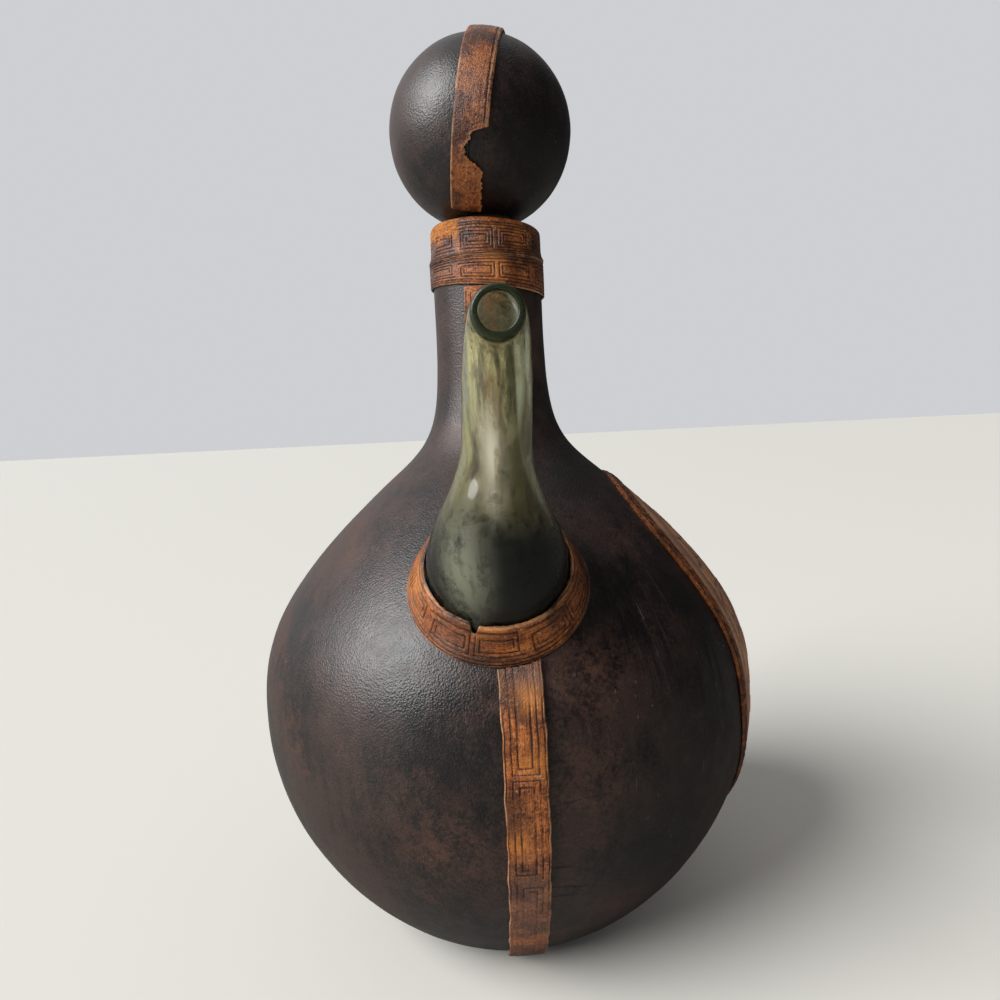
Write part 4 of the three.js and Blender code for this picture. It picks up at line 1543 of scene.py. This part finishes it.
@dataclass
class Medallion:
    """The oval tooled panel on one side, in a rope-tooled border."""

    fits: Fits
    outline: Outline
    border: float = 4 * MM
    thickness: float = 0.8 * MM
    border_thickness: float = 1 * MM
    gap: float = 0.12 * MM
    relief: float = 0.25 * MM
    petals: int = 8
    lozenges: int = 24
    lozenge_at: float = 0.77
    heart_at: float = 0.14
    rings_at: tuple[float, ...] = (0.62, 0.65, 0.89, 0.93)
    strands: int = 84
    panel_grid: float = 0.54 * MM
    rope_grid: float = 0.39 * MM

    @cached_property
    def corners(self) -> tuple[Vector, Vector]:
        """Lower and upper corner of the border."""
        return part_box("side_panel_border")

    def build(self, panel: Material, tan: Material) -> None:
        """Models the panel and its border and dresses them."""
        low, high = self.corners
        outer = np.array([high.y - low.y, high.z - low.z]) / 2
        inner = outer - self.border
        face = self._disc("side_panel_tooled", inner * 0, inner - self.fits.clearance, self.thickness,
                          self.panel_grid, self._rosette)
        dress(face, panel, Body.FLASK, Slot.PANEL, "side_panel")
        rim = self._disc("side_panel_rope", inner, outer, self.border_thickness, self.rope_grid, self._rope)
        dress(rim, tan, Body.FLASK, Slot.TAN, "side_panel_border")

    def _disc(self, name: str, inside: Array, outside: Array, thickness: float, grid: float,
              design: Design) -> Piece:
        """Models a disc or ring that lies on the leather.

        Args:
            name: The piece's name.
            inside: Half width and half height of its inner edge.
            outside: Half width and half height of its outer edge.
            thickness: How thick it is.
            grid: Length of its faces.
            design: Takes angle and share across; returns the marks and the relief.

        Returns:
            The piece.
        """
        width = float(outside[0] - inside[0])
        middle = sum(corner.z for corner in self.corners) / 2
        under = self.fits.skin_outer + self.gap
        edge = 0.6 * thickness

        def place(along: Array, across: Array) -> tuple[Array, Marks]:
            angle = along * TURN
            reach = inside + across[:, None] * (outside - inside)
            marks, rise = design(angle, across)
            y, z = reach[:, 0] * np.cos(angle), middle + reach[:, 1] * np.sin(angle)
            near = np.minimum(across * width, (1 - across) * width) if inside.any() else (1 - across) * width
            round_off = np.clip(1 - near / edge, 0, 1)
            lift = rise - edge * (1 - np.sqrt(1 - round_off ** 2))
            low = self.outline.radius(z, under)
            high = self.outline.radius(z, under + thickness)
            radius = high + (high - low) * lift / thickness
            return np.column_stack([np.sqrt(radius ** 2 - y ** 2), y, z]), marks

        columns, rows = round(TURN * outside.max() / grid), round(width / grid)
        return Bench.laid(name, columns, rows, place, 0.4 * thickness, True)

    def _rosette(self, angle: Array, share: Array) -> tuple[Marks, Array]:
        """Returns the marks and the relief of a rosette of petals in a ring of lozenges."""
        petal = np.abs(np.cos(angle * self.petals / 2))
        edge = 0.16 + 0.4 * petal ** 0.7
        heart = smooth(share, 0.13, 0.15)
        inside = 1 - smooth(share, edge - 0.012, edge + 0.012)
        outline = 1 - smooth(np.abs(share - edge), 0.006, 0.02)
        vein = (1 - smooth(np.abs(np.sin(angle * self.petals / 2)) * share, 0.008, 0.02)) * inside * heart
        heart_line = 1 - smooth(np.abs(share - self.heart_at), 0.006, 0.018)
        turn = angle * self.lozenges / TURN
        lozenge = np.abs(turn - np.floor(turn) - 0.5) * 2 + np.abs(share - self.lozenge_at) / 0.1
        diamond = 1 - smooth(lozenge, 0.62, 0.72)
        diamond_line = 1 - smooth(np.abs(lozenge - 0.8), 0.05, 0.14)
        rings = sum(1 - smooth(np.abs(share - at), 0.005, 0.016) for at in self.rings_at)
        tooling = np.clip(np.maximum.reduce([outline, vein, heart_line, diamond_line, rings]), 0, 1)
        tint = np.maximum(inside * heart * 0.9, diamond * 0.5) * (1 - tooling)
        tint = np.maximum(tint, (1 - heart) * 0.5)
        rise = self.relief * (0.6 * inside + 0.5 * diamond - tooling) - 0.2 * self.relief
        return {Mark.TOOLING: tooling, Mark.TINT: tint, Mark.EDGE: smooth(share, 0.96, 1.0)}, rise

    def _rope(self, angle: Array, across: Array) -> tuple[Marks, Array]:
        """Returns the marks and the relief of slanting strands between two edge lines."""
        phase = angle * self.strands / TURN + 0.9 * (across - 0.5)
        strand = np.abs(phase - np.floor(phase) - 0.5) * 2
        middle = 1 - smooth(np.abs(across - 0.5), 0.26, 0.32)
        lines = 1 - smooth(np.abs(np.abs(across - 0.5) - 0.33), 0.02, 0.07)
        grooves = smooth(strand, 0.7, 0.95) * middle
        tooling = np.clip(np.maximum(grooves, lines), 0, 1)
        swell = middle * np.sqrt(np.clip(1 - (2 * (across - 0.5) / 0.7) ** 2, 0, 1))
        return {Mark.TOOLING: 0.5 + 0.5 * tooling}, self.relief * (swell - tooling) - 0.5 * self.relief


@dataclass
class Foot:
    """The leather disc under the flask."""

    chamfer: float = 0.7 * MM
    segments: int = 128

    def build(self, leather: Material) -> None:
        """Models the disc, its edge rounded, and dresses it."""
        low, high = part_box("base_disc")
        profile = np.array([[0, low.z], [high.x, low.z], [high.x, high.z], [0, high.z]])
        disc = Bench.turned("base_disc_leather", profile, self.segments)
        Bench.bevel(disc, self.chamfer)
        dress(Bench.smooth(disc), leather, Body.FLASK, Slot.BASE, "base_disc")


@dataclass
class Stopper:
    """The leather-covered ball on its cork."""

    fits: Fits
    sheet: Sheet
    radius: float = 29.6 * MM
    seat_radius: float = 10.5 * MM
    lean: float = math.radians(9)
    turn: float = math.radians(-3)
    strip_width: float = 10.6 * MM
    strip_foot: float = math.radians(-63.5)
    line_inset: float = 1.2 * MM
    tear_start: float = -14
    tear_inset: float = 0.9 * MM
    bite_past: float = 1.1 * MM
    ragged: float = 0.5 * MM
    ragged_wave: float = 7 * MM
    jagged: float = 0.45 * MM
    jagged_wave: float = 2.6 * MM
    crease: float = 0.14 * MM
    cork_taper: float = 0.8 * MM
    cork_edge: float = 0.8 * MM
    swell_size: float = 16 * MM
    swell_height: float = 0.36 * MM
    segments: int = 96

    @property
    def centre(self) -> Vector:
        """Middle of the ball."""
        cover = self.fits.leather + self.fits.clearance
        return Vector((0, 0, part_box("stopper_core")[1].z - self.radius + cover))

    @property
    def tilt(self) -> Matrix:
        """Turns the seam plane from the YZ plane to its lean."""
        return Matrix.Rotation(self.turn, 3, "Z") @ Matrix.Rotation(self.lean, 3, "Y")

    def build(self, leather: Material, tan: Material, cork: Material, wood: Material) -> None:
        """Models the stopper and dresses it."""
        for side, name in ((-1, "stopper_leather_left"), (1, "stopper_leather_right")):
            dress(self.half(side, name + "_skin"), leather, Body.BALL, Slot.DARK, name)
        dress(self.strip(), tan, Body.BALL, Slot.TAN, "stopper_strip")
        dress(self.cork(), cork, Body.CORK, Slot.CORK, "stopper_cork")
        for node in ("stopper_core", "stopper_dowel"):
            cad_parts[node].data.materials.clear()
            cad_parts[node].data.materials.append(wood)

    def half(self, side: int, name: str) -> Piece:
        """Models one leather half of the ball."""
        Bench.clear()
        bpy.ops.mesh.primitive_uv_sphere_add(segments=2 * self.segments, ring_count=self.segments,
                                             radius=self.radius, location=self.centre)
        piece = Bench.named(name)
        across = self.tilt @ Vector((side, 0, 0))
        Bench.cut(piece, self.centre + across * (self.fits.clearance / 2), across)
        seat = math.sqrt(self.radius ** 2 - self.seat_radius ** 2)
        Bench.cut(piece, self.centre - Vector((0, 0, seat)), Vector((0, 0, 1)))
        Bench.swell(piece, self.swell_size, self.swell_height)
        Bench.finish(piece, "SOLIDIFY", thickness=self.fits.leather - self.swell_height / 2, offset=-1)
        return Bench.smooth(piece)

    def strip(self) -> Piece:
        """Models the strip over the ball, with the piece torn out of its front."""
        width = self.strip_width
        outer = self.radius + self.fits.clearance + self.fits.strip
        foot = self.strip_foot
        sweep = math.pi - 2 * foot
        tilt = np.array(self.tilt)

        def place(along: Array, across: Array) -> tuple[Array, Marks]:
            angle = foot + along * sweep
            arc = np.degrees(angle)
            offset = (across - 0.5) * width
            limit = self._torn_edge(arc)
            lost = (offset > limit) & (arc < self.tear_start)
            crease = self.crease * (0.5 + 0.5 * ripple(offset, arc * 0.05 * MM, self.jagged_wave, 6.0))
            line = 1 - smooth(np.abs(offset - width / 2 + self.line_inset), 0.1 * MM, 0.35 * MM)
            line = line * (1 - smooth(-arc, 10, 14))
            drop = self.sheet.drop(across * width, width, line) + crease
            ring = np.sqrt((outer - drop) ** 2 - offset ** 2)
            local = np.column_stack([offset, -ring * np.cos(angle), ring * np.sin(angle)])
            points = local @ tilt.T + np.array(self.centre)
            points[lost] = np.nan
            worn = 0.5 * (1 - smooth(limit - offset, 0.3 * MM, 1.5 * MM)) * smooth(-arc, 10, 16)
            edge = self.sheet.edge(across * width, width)
            return points, {Mark.TOOLING: line, Mark.EDGE: edge, Mark.WORN: worn}

        columns, rows = self.sheet.counts(outer * sweep, width)
        thickness = self.fits.strip - self.sheet.round_edge
        return Bench.laid("stopper_strip_worn", columns, rows, place, thickness, True)

    def _torn_edge(self, arc: Array) -> Array:
        """Returns how far right the strip reaches, by degrees up its front, with the bite low down."""
        ragged = self.ragged * ripple(arc * MM, arc * 0, self.ragged_wave, 4.0)
        jagged = self.jagged * ripple(arc * MM, arc * 0, self.jagged_wave, 2.0)
        limit = self.strip_width / 2 - smooth(-arc, 15, 16) * (self.tear_inset + ragged)
        bite = (0.7 * smooth(-arc, 14.8, 19) + 0.3 * smooth(-arc, 20, 27)) * (1 - smooth(-arc, 28.5, 38))
        return limit + bite * (1.5 * ragged - 1.3 * jagged - self.bite_past - limit)

    def cork(self) -> Piece:
        """Models the tapered cork with its edges eased and the hole for the dowel."""
        low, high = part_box("stopper_cork")
        dowel_low, dowel_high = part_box("stopper_dowel")
        hole = dowel_high.x + self.fits.clearance
        foot = dowel_low.z - self.fits.clearance
        profile = np.array([[0, low.z], [high.x - self.cork_taper, low.z], [high.x, high.z], [hole, high.z],
                            [hole, foot], [0, foot]])
        cork = Bench.turned("tapered_cork", profile, self.segments)
        Bench.bevel(cork, self.cork_edge)
        return Bench.smooth(cork)


@dataclass
class Studio:
    """The floor, the light and the camera."""

    eye: Vector = field(default_factory=lambda: Vector((0, -0.25674, 0.16209)))
    right: Vector = field(default_factory=lambda: Vector((0.99884, -0.00743, -0.04800)))
    ahead: Vector = field(default_factory=lambda: Vector((0.00289, 0.99557, -0.09401)))
    lens: float = 27.04
    nearest: float = 0.01
    floor_size: float = 30.0
    floor_color: Color = tone(226, 224, 217)
    back_color: Color = tone(206, 207, 210)
    floor_lit: Color = tone(152, 149, 143)
    floor_shaded: Color = tone(92, 90, 87)
    floor_fade: float = 0.25
    floor_rough: float = 0.6
    world_light: float = 0.34
    gloss_light: float = 0.05
    glow_from: Vector = field(default_factory=lambda: Vector((-0.6, 0.35, 0.72)))
    glow_power: float = 0.75
    glow_start: float = 0.25
    glow_full: float = 0.95
    window_from: Vector = field(default_factory=lambda: Vector((-0.95, -0.5, 0.75)))
    window_power: float = 4.4
    window_spread: float = math.radians(45)

    def build(self) -> None:
        """Sets the whole stage."""
        bpy.context.scene.view_settings.view_transform = "Standard"
        self._camera()
        self._floor()
        self._world()
        self._window()

    def _camera(self) -> None:
        """Adds the camera at the photograph's viewing angle."""
        data = bpy.data.cameras.new("camera")
        data.lens = self.lens
        data.clip_start = self.nearest
        camera = bpy.data.objects.new("camera", data)
        bpy.context.scene.collection.objects.link(camera)
        up = self.right.cross(self.ahead)
        turn = Matrix((self.right, up, -self.ahead)).transposed()
        camera.matrix_world = Matrix.Translation(self.eye) @ turn.to_4x4()
        bpy.context.scene.camera = camera

    def _floor(self) -> None:
        """Adds the plain pale floor, its colour in reflections painted lit on the left and shaded on the
        right.
        """
        Bench.clear()
        bpy.ops.mesh.primitive_plane_add(size=self.floor_size)
        floor = Bench.named("floor")
        web = Web.new("floor")
        # Painted light and shade: glossy rays see the floor lit on the left and shaded on the right.
        fade = web.eased(web.axis("X"), -self.floor_fade, self.floor_fade)
        reflected = web.mix(fade, self.floor_lit, self.floor_shaded)
        color = web.mix(web.node("ShaderNodeLightPath", out="Is Glossy Ray"), self.floor_color, reflected)
        floor.data.materials.append(web.done(web.shader(Base_Color=color, Roughness=self.floor_rough)))

    def _world(self) -> None:
        """Lights the scene all round: a pale wall to the eye, a glow from the left in reflections."""
        world = bpy.data.worlds.new("studio")
        bpy.context.scene.world = world
        web = Web(world)
        way = web.node("ShaderNodeTexCoord", out="Generated")
        inputs = {0: way, 1: self.glow_from.normalized()}
        toward = web.node("ShaderNodeVectorMath", {"operation": "DOT_PRODUCT"}, inputs, out="Value")
        glow = self.gloss_light + self.glow_power * web.eased(toward, self.glow_start, self.glow_full)
        shown = web.node("ShaderNodeBackground", inputs={"Strength": self.world_light})
        wall = {"Color": self.back_color}
        for ray, inputs in (("Is Glossy Ray", {"Strength": glow}), ("Is Transmission Ray", wall),
                            ("Is Camera Ray", wall)):
            seen = web.node("ShaderNodeBackground", inputs=inputs)
            path = web.node("ShaderNodeLightPath", out=ray)
            shown = web.node("ShaderNodeMixShader", inputs={0: path, 1: shown, 2: seen})
        web.node("ShaderNodeOutputWorld", inputs={"Surface": shown})

    def _window(self) -> None:
        """Adds the broad soft light from the upper left."""
        data = bpy.data.lights.new("window", "SUN")
        data.energy = self.window_power
        data.angle = self.window_spread
        lamp = bpy.data.objects.new("window", data)
        bpy.context.scene.collection.objects.link(lamp)
        lamp.matrix_world = (-self.window_from).to_track_quat("-Z", "Y").to_matrix().to_4x4()


def main() -> None:
    """Builds the decanter's pieces in order."""
    logging.basicConfig(level=logging.INFO, format="%(message)s")
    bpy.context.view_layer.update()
    fits = Fits()
    outline = Outline()
    spout = SpoutPath(outline)
    sheet = Sheet()
    dark = DarkLeather().material()
    tan = TanLeather().material()
    Studio().build()
    Flask(fits, outline, spout).build(GreenGlass().material(), dark)
    SeamStrips(fits, outline, spout, sheet).build(tan)
    SpoutCollar(fits, outline, spout, sheet).build(tan)
    NeckBands(fits, sheet).build(tan)
    Medallion(fits, outline).build(PanelLeather().material(), tan)
    Foot().build(BaseLeather().material())
    Stopper(fits, sheet).build(dark, tan, Cork().material(), Wood().material())


if __name__ == "__main__":
    main()
